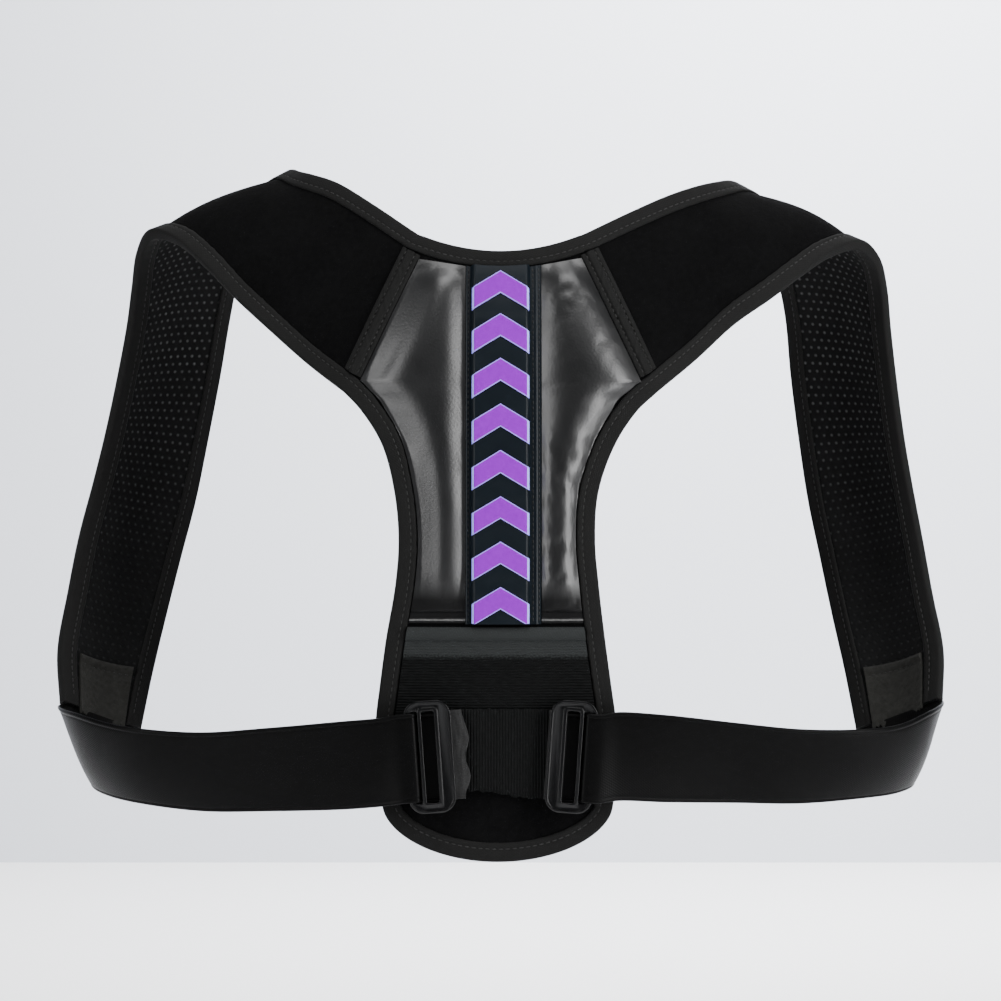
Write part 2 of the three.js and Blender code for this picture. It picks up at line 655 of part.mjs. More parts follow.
// Stops along an edge of the strap's board, in line with the board's own surface there.
function strapStops(side, edge) {
  const list = strapSections(side);
  return list.map((section, i) => {
    const line = strapLine(list, i, 0);
    const [tip, inner] = edge === 'arm' ? [line[0], line[1]] : [line.at(-1), line.at(-2)];
    const out = sum(tip, inner, -1).normalize();
    const corner = list[0].seam[edge === 'arm' ? 0 : 1];
    const face = i ? section.normal : panelNormal(corner.x, corner.y);
    return { point: tip, out, normal: sum(face, out, -face.dot(out)).normalize() };
  });
}

function neckBindingGeometry() {
  const neckline = boardStops(boardNeck(), new THREE.Vector3(0, 0, 1)).slice(1, -1);
  return bindingGeometry([...strapStops(-1, 'neck').reverse(), ...neckline, ...strapStops(1, 'neck')]);
}

// The arm-side binding stops behind the webbing, where the flap's binding takes over.
function sideStops(side) {
  const stops = boardStops(boardSide(side), new THREE.Vector3(side, 0, 0));
  const split = stops.findIndex((stop) => stop.point.z > -BUCKLE_DOWN);
  return { upper: stops.slice(split, -1), lower: stops.slice(0, split - 1) };
}

function armBindingGeometry(side) {
  return bindingGeometry([...sideStops(side).upper, ...strapStops(side, 'arm')]);
}

function flapBindingGeometry() {
  const arc = boardStops(boardFlap(), new THREE.Vector3(0, 0, -1)).slice(1, -1);
  return bindingGeometry([...sideStops(-1).lower.reverse(), ...arc, ...sideStops(1).lower]);
}

// Directions on a buckle: out along its width, up along its bars.
function buckleAxes(side) {
  const lean = radians(BUCKLE_LEAN);
  return {
    middle: new THREE.Vector3(side * BUCKLE_OUT, -BUCKLE_MIDDLE, -BUCKLE_DOWN),
    out: new THREE.Vector3(side * Math.cos(lean), 0, -Math.sin(lean)),
    up: new THREE.Vector3(side * Math.sin(lean), 0, Math.cos(lean)),
  };
}

// The webbing from the strap's end round the flank, over the buckle's outer bar, down the slot
// and back behind the buckle to its loose end.
function sideWebbingGeometry(side) {
  const name = side < 0 ? 'left' : 'right';
  const strap = strapSections(side);
  const [last, previous] = [strap.at(-1), strap.at(-2)];
  const edges = [{}];
  for (const edge of ['arm', 'neck']) {
    const onward = sum(last[edge], previous[edge], -1).normalize();
    edges[0][edge] = sum(last[edge], onward, GAP);
  }
  for (const row of WEBBING_ROWS[name]) edges.push(sectionEdges(side, row, WEBBING_WIDTH));
  const { middle, out, up } = buckleAxes(side);
  const run = BUCKLE / 2 + GAP + WEBBING / 2;
  const slotOut = BUCKLE_WIDTH / 2 - OUTER_BAR - THREAD_SLOT / 2;
  const path = [[BUCKLE_WIDTH / 2 + LEAD_IN, -run]];
  for (const angle of [-90, -135, -180]) {
    path.push([slotOut + TURN_RADIUS * (1 + Math.cos(radians(angle))),
      -run + TURN_RADIUS * (1 + Math.sin(radians(angle)))]);
  }
  for (const angle of [0, 45, 90]) {
    path.push([slotOut - TURN_RADIUS * (1 - Math.cos(radians(angle))),
      run - TURN_RADIUS * (1 - Math.sin(radians(angle)))]);
  }
  const tail = side < 0 ? TAIL_LEFT : TAIL_RIGHT;
  path.push([-BUCKLE_WIDTH / 4, run], [-tail, run]);
  const tableRows = edges.length;
  for (const [reach, depth] of path) {
    const centre = sum(middle, out, reach);
    centre.y += depth;
    edges.push({ arm: sum(centre, up, WEBBING_WIDTH / 2), neck: sum(centre, up, -WEBBING_WIDTH / 2) });
  }
  const list = sections(side, edges, (i) => (i < tableRows ? STEPS_PER_ROW : 1));
  const grid = (lift) => list.map((section, i) => {
    const crown = WEBBING_CROWN * Math.sin(Math.PI * Math.min(1, i / (STEPS_PER_ROW * FLANK_ROWS)));
    return [0, 0.5, 1].map((t) => (
      sum(section.arm.clone().lerp(section.neck, t), section.normal, lift + (t === 0.5 ? crown : 0))));
  });
  return slab(grid(-WEBBING / 2), grid(WEBBING / 2));
}

// The ribbed band that joins the buckles, its ends behind their inner bars.
function centreWebbingGeometry() {
  const reach = BUCKLE_OUT - OPEN_SLOT / 2 - GAP;
  const grid = (depth) => [-1, 0, 1].map((share) => [-1, 0, 1].map((rise) => new THREE.Vector3(
    share * reach, -depth, -BUCKLE_DOWN + BAND_RAISED + rise * WEBBING_WIDTH / 2)));
  return slab(grid(CENTRE_FACE - WEBBING), grid(CENTRE_FACE));
}

function roundedOutline(path, halfWidth, halfHeight, radius, shift = 0) {
  const corners = [[1, 1], [-1, 1], [-1, -1], [1, -1]];
  corners.forEach(([x, y], i) => {
    path.absarc(shift + x * (halfWidth - radius), y * (halfHeight - radius), radius,
      i * Math.PI / 2, (i + 1) * Math.PI / 2, false);
  });
  return path;
}

function buckleGeometry() {
  const shape = roundedOutline(new THREE.Shape(), BUCKLE_WIDTH / 2, BUCKLE_HEIGHT / 2, BUCKLE_CORNER);
  const threadMiddle = BUCKLE_WIDTH / 2 - OUTER_BAR - THREAD_SLOT / 2;
  const openMiddle = threadMiddle - THREAD_SLOT / 2 - RIDGE_BAR - OPEN_SLOT / 2;
  const slot = (width, corner, middle) => (
    roundedOutline(new THREE.Path(), width / 2, SLOT_HEIGHT / 2, corner, middle));
  shape.holes.push(slot(THREAD_SLOT, THREAD_CORNER, threadMiddle));
  shape.holes.push(slot(OPEN_SLOT, OPEN_CORNER, openMiddle));
  const geometry = new THREE.ExtrudeGeometry(shape, {
    depth: BUCKLE - 2 * BUCKLE_BEVEL, curveSegments: 3, bevelEnabled: true, bevelSegments: 1,
    bevelThickness: BUCKLE_BEVEL, bevelSize: BUCKLE_BEVEL, bevelOffset: -BUCKLE_BEVEL });
  geometry.translate(0, 0, BUCKLE_BEVEL - BUCKLE / 2);
  geometry.deleteAttribute('normal');
  geometry.deleteAttribute('uv');
  return mergeVertices(geometry, 1e-4);
}

const corrector = new THREE.Group();

function add(name, geometry, finish) {
  const mesh = new THREE.Mesh(geometry, FINISHES[finish]);
  mesh.name = name;
  corrector.add(mesh);
  return mesh;
}

add('back_pad', boardGeometry(), 'velour');
add('spine_strip', stripGeometry(), 'leather');
chevronTips().forEach((tip, i) => add(`chevron_${i + 1}`, chevronGeometry(tip), 'print'));
add('lumbar_elastic', ribbedGeometry(), 'ribbed');
add('centre_webbing', centreWebbingGeometry(), 'ribbed');
add('binding_neck', neckBindingGeometry(), 'binding');
add('binding_flap', flapBindingGeometry(), 'binding');
for (const [name, side] of Object.entries(SIDES)) {
  add(`leather_pad_${name}`, lobeGeometry(side), 'leather');
  add(`shoulder_strap_${name}`, strapGeometry(side), 'velour');
  add(`strap_lining_${name}`, liningGeometry(side), 'mesh');
  add(`binding_arm_${name}`, armBindingGeometry(side), 'binding');
  add(`seam_tape_${name}`, seamTapeGeometry(side), 'binding');
  add(`end_patch_${name}`, patchGeometry(side), 'patch');
  add(`side_webbing_${name}`, sideWebbingGeometry(side), 'webbing');
  const buckle = add(`buckle_${name}`, buckleGeometry(), 'plastic');
  const { middle, out, up } = buckleAxes(side);
  buckle.applyMatrix4(new THREE.Matrix4()
    .makeBasis(out, up, out.clone().cross(up)).setPosition(middle));
}

export default corrector;
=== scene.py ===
"""Looks of the posture corrector: panel, straps, binding, webbing, buckles, camera and studio.

Sizes in the classes are millimetres, as a maker writes them, and meshes are made in metres.
+Z is up, the panel faces -Y, and the wearer's body is on the +Y side.
"""

import logging
import math
from dataclasses import dataclass, field
from enum import Enum

import bmesh
import bpy
import numpy as np
from mathutils import Matrix, Vector


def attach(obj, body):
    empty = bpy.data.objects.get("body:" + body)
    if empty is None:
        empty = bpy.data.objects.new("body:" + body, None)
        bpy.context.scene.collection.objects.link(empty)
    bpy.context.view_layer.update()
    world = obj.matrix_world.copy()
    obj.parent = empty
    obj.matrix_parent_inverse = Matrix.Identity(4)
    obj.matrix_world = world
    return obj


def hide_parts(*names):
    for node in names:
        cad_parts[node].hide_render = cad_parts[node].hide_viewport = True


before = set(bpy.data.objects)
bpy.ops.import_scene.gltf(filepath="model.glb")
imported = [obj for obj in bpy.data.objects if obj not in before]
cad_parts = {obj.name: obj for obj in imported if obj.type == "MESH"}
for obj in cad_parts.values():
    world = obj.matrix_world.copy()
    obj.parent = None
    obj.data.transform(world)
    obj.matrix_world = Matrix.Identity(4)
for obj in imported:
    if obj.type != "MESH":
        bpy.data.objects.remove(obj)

MM = 0.001
BODY = "root"
CLOTH_UV = "cloth"
# How finely an edge is read, and how finely a corner is looked for.
EDGE_READS = 600
CORNER_READS = 4001
# Rows of points on each rib of an elastic.
RIB_ROWS = 6
LOG = logging.getLogger("corrector")
# Millimetres that out, ahead and up are shares of in the tables below.
REACH = np.array([200.0, 140.0, 310.0])

Array = np.ndarray
Node = bpy.types.Node
Socket = bpy.types.NodeSocket
Effect = bpy.types.NodeTree
Piece = bpy.types.Object
Colour = tuple[float, float, float]


class Side(Enum):
    """Side of the midline, as seen from in front of the panel."""

    LEFT = -1
    RIGHT = 1

    @property
    def word(self) -> str:
        """The side's name in small letters."""
        return self.name.lower()


class Layer(Enum):
    """Faces of a strap, as lifts off its middle layer in millimetres."""

    BODY_SIDE = -1.65
    LINING_TOP = -0.65
    FOAM_BOTTOM = -0.35
    OUTER = 1.65


# Straps: a row per section from the panel seam to the lower end. out, ahead and up are the middle
# of the strap as shares of the reach, wide is a share of its width, then two angles in degrees.
STRAP_ROWS = {
    Side.LEFT: [
        (0.369, 0.196, 0.205, 1.20, 30, 66), (0.459, 0.254, 0.250, 1.12, 26, 61),
        (0.523, 0.300, 0.278, 1.03, 25, 55), (0.572, 0.357, 0.304, 0.96, 20, 43),
        (0.624, 0.429, 0.327, 0.97, 16, 30), (0.679, 0.521, 0.321, 0.96, 19, 20),
        (0.724, 0.643, 0.280, 0.92, 27, 14), (0.756, 0.739, 0.225, 0.87, 35, 11),
        (0.777, 0.800, 0.164, 0.85, 38, 7), (0.804, 0.846, 0.078, 0.85, 38, 4),
        (0.834, 0.868, -0.013, 0.84, 38, -3), (0.864, 0.864, -0.101, 0.84, 37, -9),
        (0.897, 0.836, -0.187, 0.83, 36, -11), (0.924, 0.782, -0.275, 0.79, 34, -12),
        (0.947, 0.700, -0.365, 0.74, 31, -15), (0.951, 0.611, -0.447, 0.63, 29, -20),
    ],
    Side.RIGHT: [
        (0.372, 0.196, 0.201, 1.12, 28, 64), (0.464, 0.254, 0.242, 1.01, 27, 61),
        (0.537, 0.300, 0.268, 0.95, 25, 55), (0.598, 0.357, 0.290, 0.90, 22, 46),
        (0.653, 0.429, 0.308, 0.89, 19, 35), (0.712, 0.521, 0.310, 0.92, 21, 24),
        (0.763, 0.643, 0.276, 0.92, 28, 17), (0.795, 0.739, 0.225, 0.89, 34, 12),
        (0.815, 0.800, 0.160, 0.87, 38, 9), (0.832, 0.846, 0.074, 0.87, 38, 5),
        (0.852, 0.868, -0.017, 0.86, 38, -1), (0.873, 0.864, -0.103, 0.85, 37, -8),
        (0.897, 0.836, -0.187, 0.83, 36, -11), (0.921, 0.782, -0.279, 0.80, 34, -12),
        (0.943, 0.700, -0.365, 0.76, 30, -15), (0.948, 0.611, -0.445, 0.67, 27, -21),
    ],
}

# Side webbing round the flank to the buckle, in the same columns.
WEBBING_ROWS = {
    Side.LEFT: [
        (0.976, 0.536, -0.471, 1.07, 42, -40), (0.984, 0.436, -0.484, 1.09, 59, -52),
        (0.962, 0.325, -0.490, 1.09, 77, -56), (0.903, 0.211, -0.499, 1.08, 90, -56),
        (0.820, 0.114, -0.506, 1.06, 91, -58), (0.675, 0.046, -0.512, 1.05, 91, -62),
        (0.525, -0.004, -0.507, 1.04, 90, -68), (0.355, -0.054, -0.499, 1.02, 88, -79),
        (0.262, -0.080, -0.493, 1.00, 86, -86),
    ],
    Side.RIGHT: [
        (0.973, 0.536, -0.465, 1.10, 39, -40), (0.987, 0.436, -0.478, 1.10, 57, -52),
        (0.973, 0.325, -0.487, 1.08, 78, -56), (0.910, 0.211, -0.499, 1.03, 92, -54),
        (0.816, 0.114, -0.503, 1.00, 94, -56), (0.678, 0.046, -0.504, 1.00, 93, -61),
        (0.529, -0.004, -0.497, 1.00, 92, -68), (0.369, -0.054, -0.489, 1.01, 90, -79),
        (0.262, -0.080, -0.485, 1.00, 88, -86),
    ],
}

# Panel sides from the flap up to the strap seam: down as a share of the drop, then the left and
# right half widths as shares of the panel's.
SIDE_ROWS = [
    (0.872, 0.945, 0.900), (0.821, 0.992, 0.934), (0.746, 1.004, 0.940), (0.670, 0.996, 0.920),
    (0.610, 0.970, 0.891), (0.499, 0.918, 0.838), (0.373, 0.842, 0.786), (0.272, 0.816, 0.757),
    (0.161, 0.850, 0.784), (0.055, 0.950, 0.918), (-0.022, 1.120, 1.100),
]


def unit(vectors: Array) -> Array:
    """Vectors at length one, along the last axis."""
    return vectors / np.maximum(np.linalg.norm(vectors, axis=-1, keepdims=True), 1e-9)


def curve(points: Array, places: Array) -> Array:
    """A centripetal Catmull-Rom curve.

    Args:
        points: The points that it goes through.
        places: Where to read it, from 0 at the first point to 1 at the last.

    Returns:
        One point for each place.
    """
    points = np.asarray(points, float)
    spans = len(points) - 1
    padded = np.vstack([2 * points[0] - points[1], points, 2 * points[-1] - points[-2]])
    scaled = np.clip(places, 0, 1) * spans
    index = np.minimum(scaled.astype(int), spans - 1)
    s = (scaled - index)[:, None]
    p0, p1, p2, p3 = (padded[index + k] for k in range(4))
    d0, d1, d2 = (np.linalg.norm(b - a, axis=1)[:, None] ** 0.5
                  for a, b in ((p0, p1), (p1, p2), (p2, p3)))
    t1 = ((p1 - p0) / d0 - (p2 - p0) / (d0 + d1) + (p2 - p1) / d1) * d1
    t2 = ((p2 - p1) / d1 - (p3 - p1) / (d1 + d2) + (p3 - p2) / d2) * d1
    return p1 + t1 * s + (3 * (p2 - p1) - 2 * t1 - t2) * s**2 + (2 * (p1 - p2) + t1 + t2) * s**3


def run_length(points: Array) -> Array:
    """Distance along a line of points, from 0 at its first."""
    steps = np.linalg.norm(np.diff(points, axis=0), axis=1)
    return np.concatenate([[0], np.cumsum(steps)])


def directions(line: Array) -> Array:
    """The way that a line of points runs at each of them, at any length."""
    return np.vstack([line[1] - line[0], line[2:] - line[:-2], line[-1] - line[-2]])


def grid_faces(rows: int, columns: int) -> Array:
    """The four point indices of each face of a grid."""
    at = np.arange(rows * columns).reshape(rows, columns)
    return np.stack([at[:-1, :-1], at[:-1, 1:], at[1:, 1:], at[1:, :-1]], -1).reshape(-1, 4)


def ease(value: Array, start: float, end: float) -> Array:
    """A smooth step from 0 at start to 1 at end."""
    share = np.clip((np.asarray(value, float) - start) / (end - start), 0, 1)
    return share * share * (3 - 2 * share)


def ripple(place: Array, seed: float, waves: int = 4) -> Array:
    """A smooth uneven line between about -1 and 1, the same in each run.

    Args:
        place: Where to read it; one unit is about one wave.
        seed: Picks one of many such lines.
        waves: How many waves it is summed from.

    Returns:
        A value for each place.
    """
    place = np.asarray(place, float)
    total = np.zeros_like(place)
    for k in range(1, waves + 1):
        total += np.sin(2 * np.pi * place * (0.63 + 0.41 * k) + seed * 12.99 * k + 78.2 * k * k) / k**0.7
    return total / 2


def bump_at(away: Array, spread: float) -> Array:
    """A bell of height one around 0."""
    return np.exp(-(np.asarray(away, float) / spread) ** 2)


def pad_rise(reach: Array) -> Array:
    """The side of a stuffed pad: a straight slope that rounds over to a flat top.

    Args:
        reach: Distance in from the seam, as a share of the slope's width.

    Returns:
        Height from 0 at the seam to 1.
    """
    reach = np.clip(reach, 0, 1.4)
    over = np.maximum(0, reach - 0.6)
    return reach - over**2 / 1.6


def soften(values: Array, share: float, passes: int) -> None:
    """Evens out a grid of values in place, all but its border.

    Args:
        values: The grid, in rows and columns; it is changed.
        share: How far a value moves toward the mean of its four neighbours in one pass.
        passes: How often that is done.
    """
    for _ in range(passes):
        around = (values[:-2, 1:-1] + values[2:, 1:-1] + values[1:-1, :-2] + values[1:-1, 2:]) / 4
        values[1:-1, 1:-1] += share * (around - values[1:-1, 1:-1])


def nearest(values: Array, wanted: float) -> int:
    """Index of the value nearest to the wanted one."""
    return int(np.argmin(np.abs(values - wanted)))


def resample(line: Array, spacing: float, *others: Array) -> tuple[Array, ...]:
    """Lines read again at even distances along the first.

    Args:
        line: Points of the line that is measured.
        spacing: The distance wanted between new points.
        others: Values that go with its points.

    Returns:
        The distances, the new points and the new values of the others.
    """
    run = run_length(line)
    new = np.linspace(0, run[-1], max(2, round(run[-1] / spacing) + 1))
    read = [np.stack([np.interp(new, run, part[:, k]) for k in range(part.shape[1])], -1)
            for part in (line, *others)]
    return (new, *read)


def grid_lengths(grid: Array) -> tuple[Array, Array]:
    """Distance along the rows and across the columns of a grid of points.

    Args:
        grid: Points in rows and columns.

    Returns:
        Two arrays with one value per point: along, from row to row, and across.
    """
    middle = grid[:, grid.shape[1] // 2]
    along = np.repeat(run_length(middle)[:, None], grid.shape[1], axis=1)
    steps = np.linalg.norm(np.diff(grid, axis=1), axis=2)
    across = np.concatenate([np.zeros((len(grid), 1)), np.cumsum(steps, axis=1)], axis=1)
    return along, across


class MeshMaker:
    """Makes meshes from points in millimetres."""

    @classmethod
    def build(cls, name: str, points: Array, faces: list, uv: Array | None = None,
              sharp: float = 50) -> Piece:
        """A mesh object with outward faces, smooth but for edges sharper than an angle.

        Args:
            name: The piece's name.
            points: Its points, in millimetres.
            faces: Point indices of each face.
            uv: Place of each point on the cloth, in millimetres.
            sharp: The angle in degrees past which an edge stays sharp.

        Returns:
            The new object.
        """
        mesh = bpy.data.meshes.new(name)
        mesh.from_pydata((np.asarray(points) * MM).tolist(), [], [tuple(f) for f in faces])
        if uv is not None:
            layer = mesh.uv_layers.new(name=CLOTH_UV)
            corners = np.empty(len(mesh.loops), int)
            mesh.loops.foreach_get("vertex_index", corners)
            layer.data.foreach_set("uv", (np.asarray(uv)[corners] * MM).ravel())
        cls.smooth(mesh, sharp)
        piece = bpy.data.objects.new(name, mesh)
        bpy.context.scene.collection.objects.link(piece)
        return piece

    @staticmethod
    def smooth(mesh: bpy.types.Mesh, sharp: float) -> None:
        """Turns a mesh's faces outward and shades it smooth but for its sharp edges.

        Args:
            mesh: The mesh.
            sharp: The angle in degrees past which an edge stays sharp.
        """
        work = bmesh.new()
        work.from_mesh(mesh)
        bmesh.ops.recalc_face_normals(work, faces=work.faces)
        work.to_mesh(mesh)
        work.free()
        mesh.shade_smooth()
        mesh.set_sharp_from_angle(angle=math.radians(sharp))

    @classmethod
    def slab(cls, name: str, low: Array, high: Array, uv: tuple[Array, Array] | None = None,
             sharp: float = 50) -> Piece:
        """A closed slab between two grids of points with the same rows and columns.

        Args:
            name: The piece's name.
            low: Points of one face.
            high: Points of the other face.
            uv: Distances along and across for each point, or None to measure the high face.
            sharp: The angle in degrees past which an edge stays sharp.

        Returns:
            The new object.
        """
        rows, columns = low.shape[:2]
        at = np.arange(rows * columns).reshape(rows, columns)
        floor = grid_faces(rows, columns)
        ring = np.concatenate([at[0], at[1:, -1], at[-1, -2::-1], at[-2:0:-1, 0]])
        after = np.roll(ring, -1)
        top = rows * columns
        wall = np.stack([after, ring, ring + top, after + top], -1)
        faces = np.vstack([floor, floor[:, ::-1] + top, wall]).tolist()
        along, across = grid_lengths(high) if uv is None else uv
        flat = np.stack([along.ravel(), across.ravel()], -1)
        points = np.vstack([low.reshape(-1, 3), high.reshape(-1, 3)])
        return cls.build(name, points, faces, np.vstack([flat, flat]), sharp)


@dataclass
class Stitches:
    """Thread stitches, gathered row by row into one piece."""

    length: float = 2.2
    pause: float = 0.9
    thick: float = 0.55
    sides: int = 6
    points: list = field(default_factory=list)
    faces: list = field(default_factory=list)

    def row(self, line: Array, normal: Array) -> None:
        """Adds stitches along a line.

        Args:
            line: Points on the sewn surface.
            normal: The surface's outward direction at each of them.
        """
        run, line, normal = resample(line, 0.4, normal)
        pitch = self.length + self.pause
        count = int(run[-1] / pitch)
        if count < 1:
            return
        starts = (run[-1] - count * pitch + self.pause) / 2 + pitch * np.arange(count)
        places = starts[:, None] + self.length * np.array([0, 0.22, 0.78, 1])[None]
        centre, face = (np.stack([np.interp(places, run, part[:, k]) for k in range(3)], -1)
                        for part in (line, normal))
        face = unit(face)
        along = unit(centre[:, -1:] - centre[:, :1])
        aside = unit(np.cross(face, along))
        centre = centre + face * (self.thick * np.array([-0.3, 0.12, 0.12, -0.3]))[None, :, None]
        turn = np.linspace(0, 2 * np.pi, self.sides, endpoint=False)
        radius = self.thick / 2 * np.array([0.5, 1, 1, 0.5])[None, :, None, None]
        ring = (aside[:, :, None] * np.cos(turn)[None, None, :, None]
                + face[:, :, None] * np.sin(turn)[None, None, :, None])
        first = sum(len(part) for part in self.points)
        self.points.append((centre[:, :, None] + ring * radius).reshape(-1, 3))
        for i in range(count):
            at = first + i * 4 * self.sides + np.arange(4 * self.sides).reshape(4, self.sides)
            after = np.roll(at, -1, axis=1)
            self.faces += np.stack([at[:-1], after[:-1], after[1:], at[1:]], -1).reshape(-1, 4).tolist()
            self.faces += [at[0, ::-1].tolist(), at[-1].tolist()]

    def piece(self, name: str) -> Piece:
        """All rows as one object."""
        return MeshMaker.build(name, np.vstack(self.points), self.faces)


@dataclass(frozen=True)
class Stack:
    """Thicknesses, clearances and widths of the layers."""

    board: float = 3.3
    lining: float = 1.0
    gap: float = 0.3
    tape: float = 0.8
    binding: float = 8.8
    seam_tape: float = 9
    webbing: float = 1.5
    webbing_width: float = 40
    ribbed: float = 1.5
    buckle: float = 3.2

    @property
    def inset(self) -> float:
        """From the outside of the binding to the board's edge."""
        return self.gap + self.tape

    @property
    def cover(self) -> float:
        """How far the binding lies over the board."""
        return self.binding - self.inset

    @property
    def clear(self) -> float:
        """From the board's edge to what lies inside the binding."""
        return self.cover + self.gap

    @property
    def ribbed_face(self) -> float:
        """Outer face of the ribbed elastic."""
        return self.board + self.gap + self.ribbed

    @property
    def centre_face(self) -> float:
        """Outer face of the band between the buckles."""
        return self.ribbed_face + self.gap + self.webbing

    @property
    def buckle_middle(self) -> float:
        """Middle plane of the buckles."""
        return self.centre_face + 2 * self.gap + self.webbing + self.buckle / 2


@dataclass(frozen=True)
class PanelSheet:
    """The bent sheet that the panel follows, and the panel's outline on it."""

    half: float = 56
    drop: float = 198.5
    seam_low: tuple[float, float] = (70.2, 12.4)
    seam_top: tuple[float, float] = (36.3, 84.3)
    neck_sag: float = 7.6
    flap_start: float = 173
    flap_point: float = 1.12
    forward: float = 25
    curve_start: float = 27
    side_curve: float = 7
    run_on: float = 8
    probe: float = 0.5
    layers: Stack = Stack()

    def depth(self, x: Array, z: Array) -> Array:
        """How far the sheet lies toward the body."""
        climb = np.maximum(0, z + self.curve_start) / (self.seam_top[1] + self.curve_start)
        return self.forward * climb**2 + self.side_curve * (x / self.seam_low[0]) ** 2

    def normal(self, x: Array, z: Array) -> Array:
        """The sheet's outward normal.

        Args:
            x: Distance from the midline.
            z: Height.

        Returns:
            A direction of length one for each point.
        """
        step = self.probe
        across = (self.depth(x + step, z) - self.depth(x - step, z)) / (2 * step)
        up = (self.depth(x, z + step) - self.depth(x, z - step)) / (2 * step)
        return unit(np.stack([across, -np.ones_like(across), up], -1))

    def on(self, x: Array, z: Array, lift: Array | float) -> Array:
        """Points lifted off the sheet.

        Args:
            x: Distance from the midline.
            z: Height.
            lift: How far out of the sheet they lie.

        Returns:
            The points.
        """
        x, z, lift = np.broadcast_arrays(np.asarray(x, float), z, lift)
        base = np.stack([x, self.depth(x, z), z], -1)
        return base + self.normal(x, z) * lift[..., None]

    def side_out(self, side: Side, z: Array) -> Array:
        """The finished edge's distance from the midline.

        Args:
            side: Which edge.
            z: Heights to read it at.

        Returns:
            A distance for each height.
        """
        column = 1 if side is Side.LEFT else 2
        pairs = [(-row[0] * self.drop, row[column] * self.half) for row in SIDE_ROWS]
        out, up = self.seam_low
        pairs += [(up, out), (up + self.run_on, out + self.run_on)]
        line = curve(np.array(pairs), np.linspace(0, 1, EDGE_READS))
        return np.interp(z, line[:, 0], line[:, 1])

    def side_inset(self, side: Side, z: Array, inset: float) -> Array:
        """The edge moved in toward the midline."""
        slope = (self.side_out(side, z + 1) - self.side_out(side, z - 1)) / 2
        return self.side_out(side, z) - inset * np.hypot(1, slope)

    def neck_up(self, x: Array, inset: float) -> Array:
        """Height of the neckline.

        Args:
            x: Distances from the midline to read it at.
            inset: How far in from the finished edge.

        Returns:
            A height for each distance.
        """
        out, up = self.seam_top
        share = np.minimum(1, np.abs(x) / out)
        sag = self.neck_sag * (1 - share**2)
        return up - sag - inset * np.hypot(1, 2 * self.neck_sag * share / out)

    def seam_out(self, z: Array, inset: float) -> Array:
        """The strap seam's distance from the midline.

        Args:
            z: Heights to read it at.
            inset: How far in from the seam.

        Returns:
            A distance for each height.
        """
        run = self.seam_low[0] - self.seam_top[0]
        climb = self.seam_top[1] - self.seam_low[1]
        line = self.seam_low[0] - run * (z - self.seam_low[1]) / climb
        return line - inset * math.hypot(run, climb) / climb

    def seam_corners(self, side: Side) -> tuple[Array, Array]:
        """Ends of the board's seam edge.

        Args:
            side: Which seam.

        Returns:
            The low and the top end as flat points.
        """
        inset = self.layers.inset
        z = self.seam_low[1] + self.run_on * np.linspace(-1, 1, CORNER_READS)
        low = z[np.argmax(self.seam_out(z, 0) <= self.side_inset(side, z, inset))]
        z = np.linspace(self.seam_low[1], self.seam_top[1], 2 * CORNER_READS - 1)
        top = z[np.argmax(self.neck_up(self.seam_out(z, 0), inset) <= z)]
        return tuple(np.array([side.value * float(self.seam_out(h, 0)), h]) for h in (low, top))

    def board_side(self, side: Side, steps: int) -> Array:
        """The board's side edge.

        Args:
            side: Which edge.
            steps: How many parts it is cut into.

        Returns:
            Flat points from the flap to the seam.
        """
        low, _ = self.seam_corners(side)
        z = np.linspace(-self.flap_start, low[1], steps + 1)[:-1]
        x = side.value * self.side_inset(side, z, self.layers.inset)
        return np.vstack([np.stack([x, z], -1), low])

    def board_seam(self, side: Side, steps: int) -> Array:
        """The board's seam edge as flat points, from low to top."""
        low, top = self.seam_corners(side)
        return low + (top - low) * np.linspace(0, 1, steps + 1)[:, None]

    def board_neck(self, steps: int) -> Array:
        """The board's neckline.

        Args:
            steps: How many parts it is cut into.

        Returns:
            Flat points from left to right.
        """
        ends = [self.seam_corners(side)[1][0] for side in Side]
        x = np.linspace(*ends, steps + 1)
        return np.stack([x, self.neck_up(x, self.layers.inset)], -1)

    def board_flap(self, steps: int) -> Array:
        """The flap's lower edge.

        Args:
            steps: How many parts it is cut into.

        Returns:
            Flat points from left to right.
        """
        left, right = (self.board_side(side, 4)[0, 0] for side in Side)
        turn = np.linspace(0, math.pi, steps + 1)
        x = left + (right - left) * (1 - np.cos(turn)) / 2
        deep = self.drop - self.flap_start - self.layers.inset
        bow = np.maximum(0, np.sin(turn)) ** self.flap_point
        return np.stack([x, -self.flap_start - deep * bow], -1)


def fill_between(bottom: Array, top: Array, left: Array, right: Array) -> Array:
    """A grid of flat points between four edges that share their corners.

    Args:
        bottom: Points of the lower edge, left to right.
        top: Points of the upper edge, left to right.
        left: Points of the left edge, upward.
        right: Points of the right edge, upward.

    Returns:
        Points in rows upward and columns to the right.
    """
    v = np.linspace(0, 1, len(left))[:, None, None]
    u = np.linspace(0, 1, len(bottom))[None, :, None]
    ruled = bottom[None] * (1 - v) + top[None] * v + left[:, None] * (1 - u) + right[:, None] * u
    corners = ((bottom[0] * (1 - u) + bottom[-1] * u) * (1 - v)
               + (top[0] * (1 - u) + top[-1] * u) * v)
    return ruled - corners


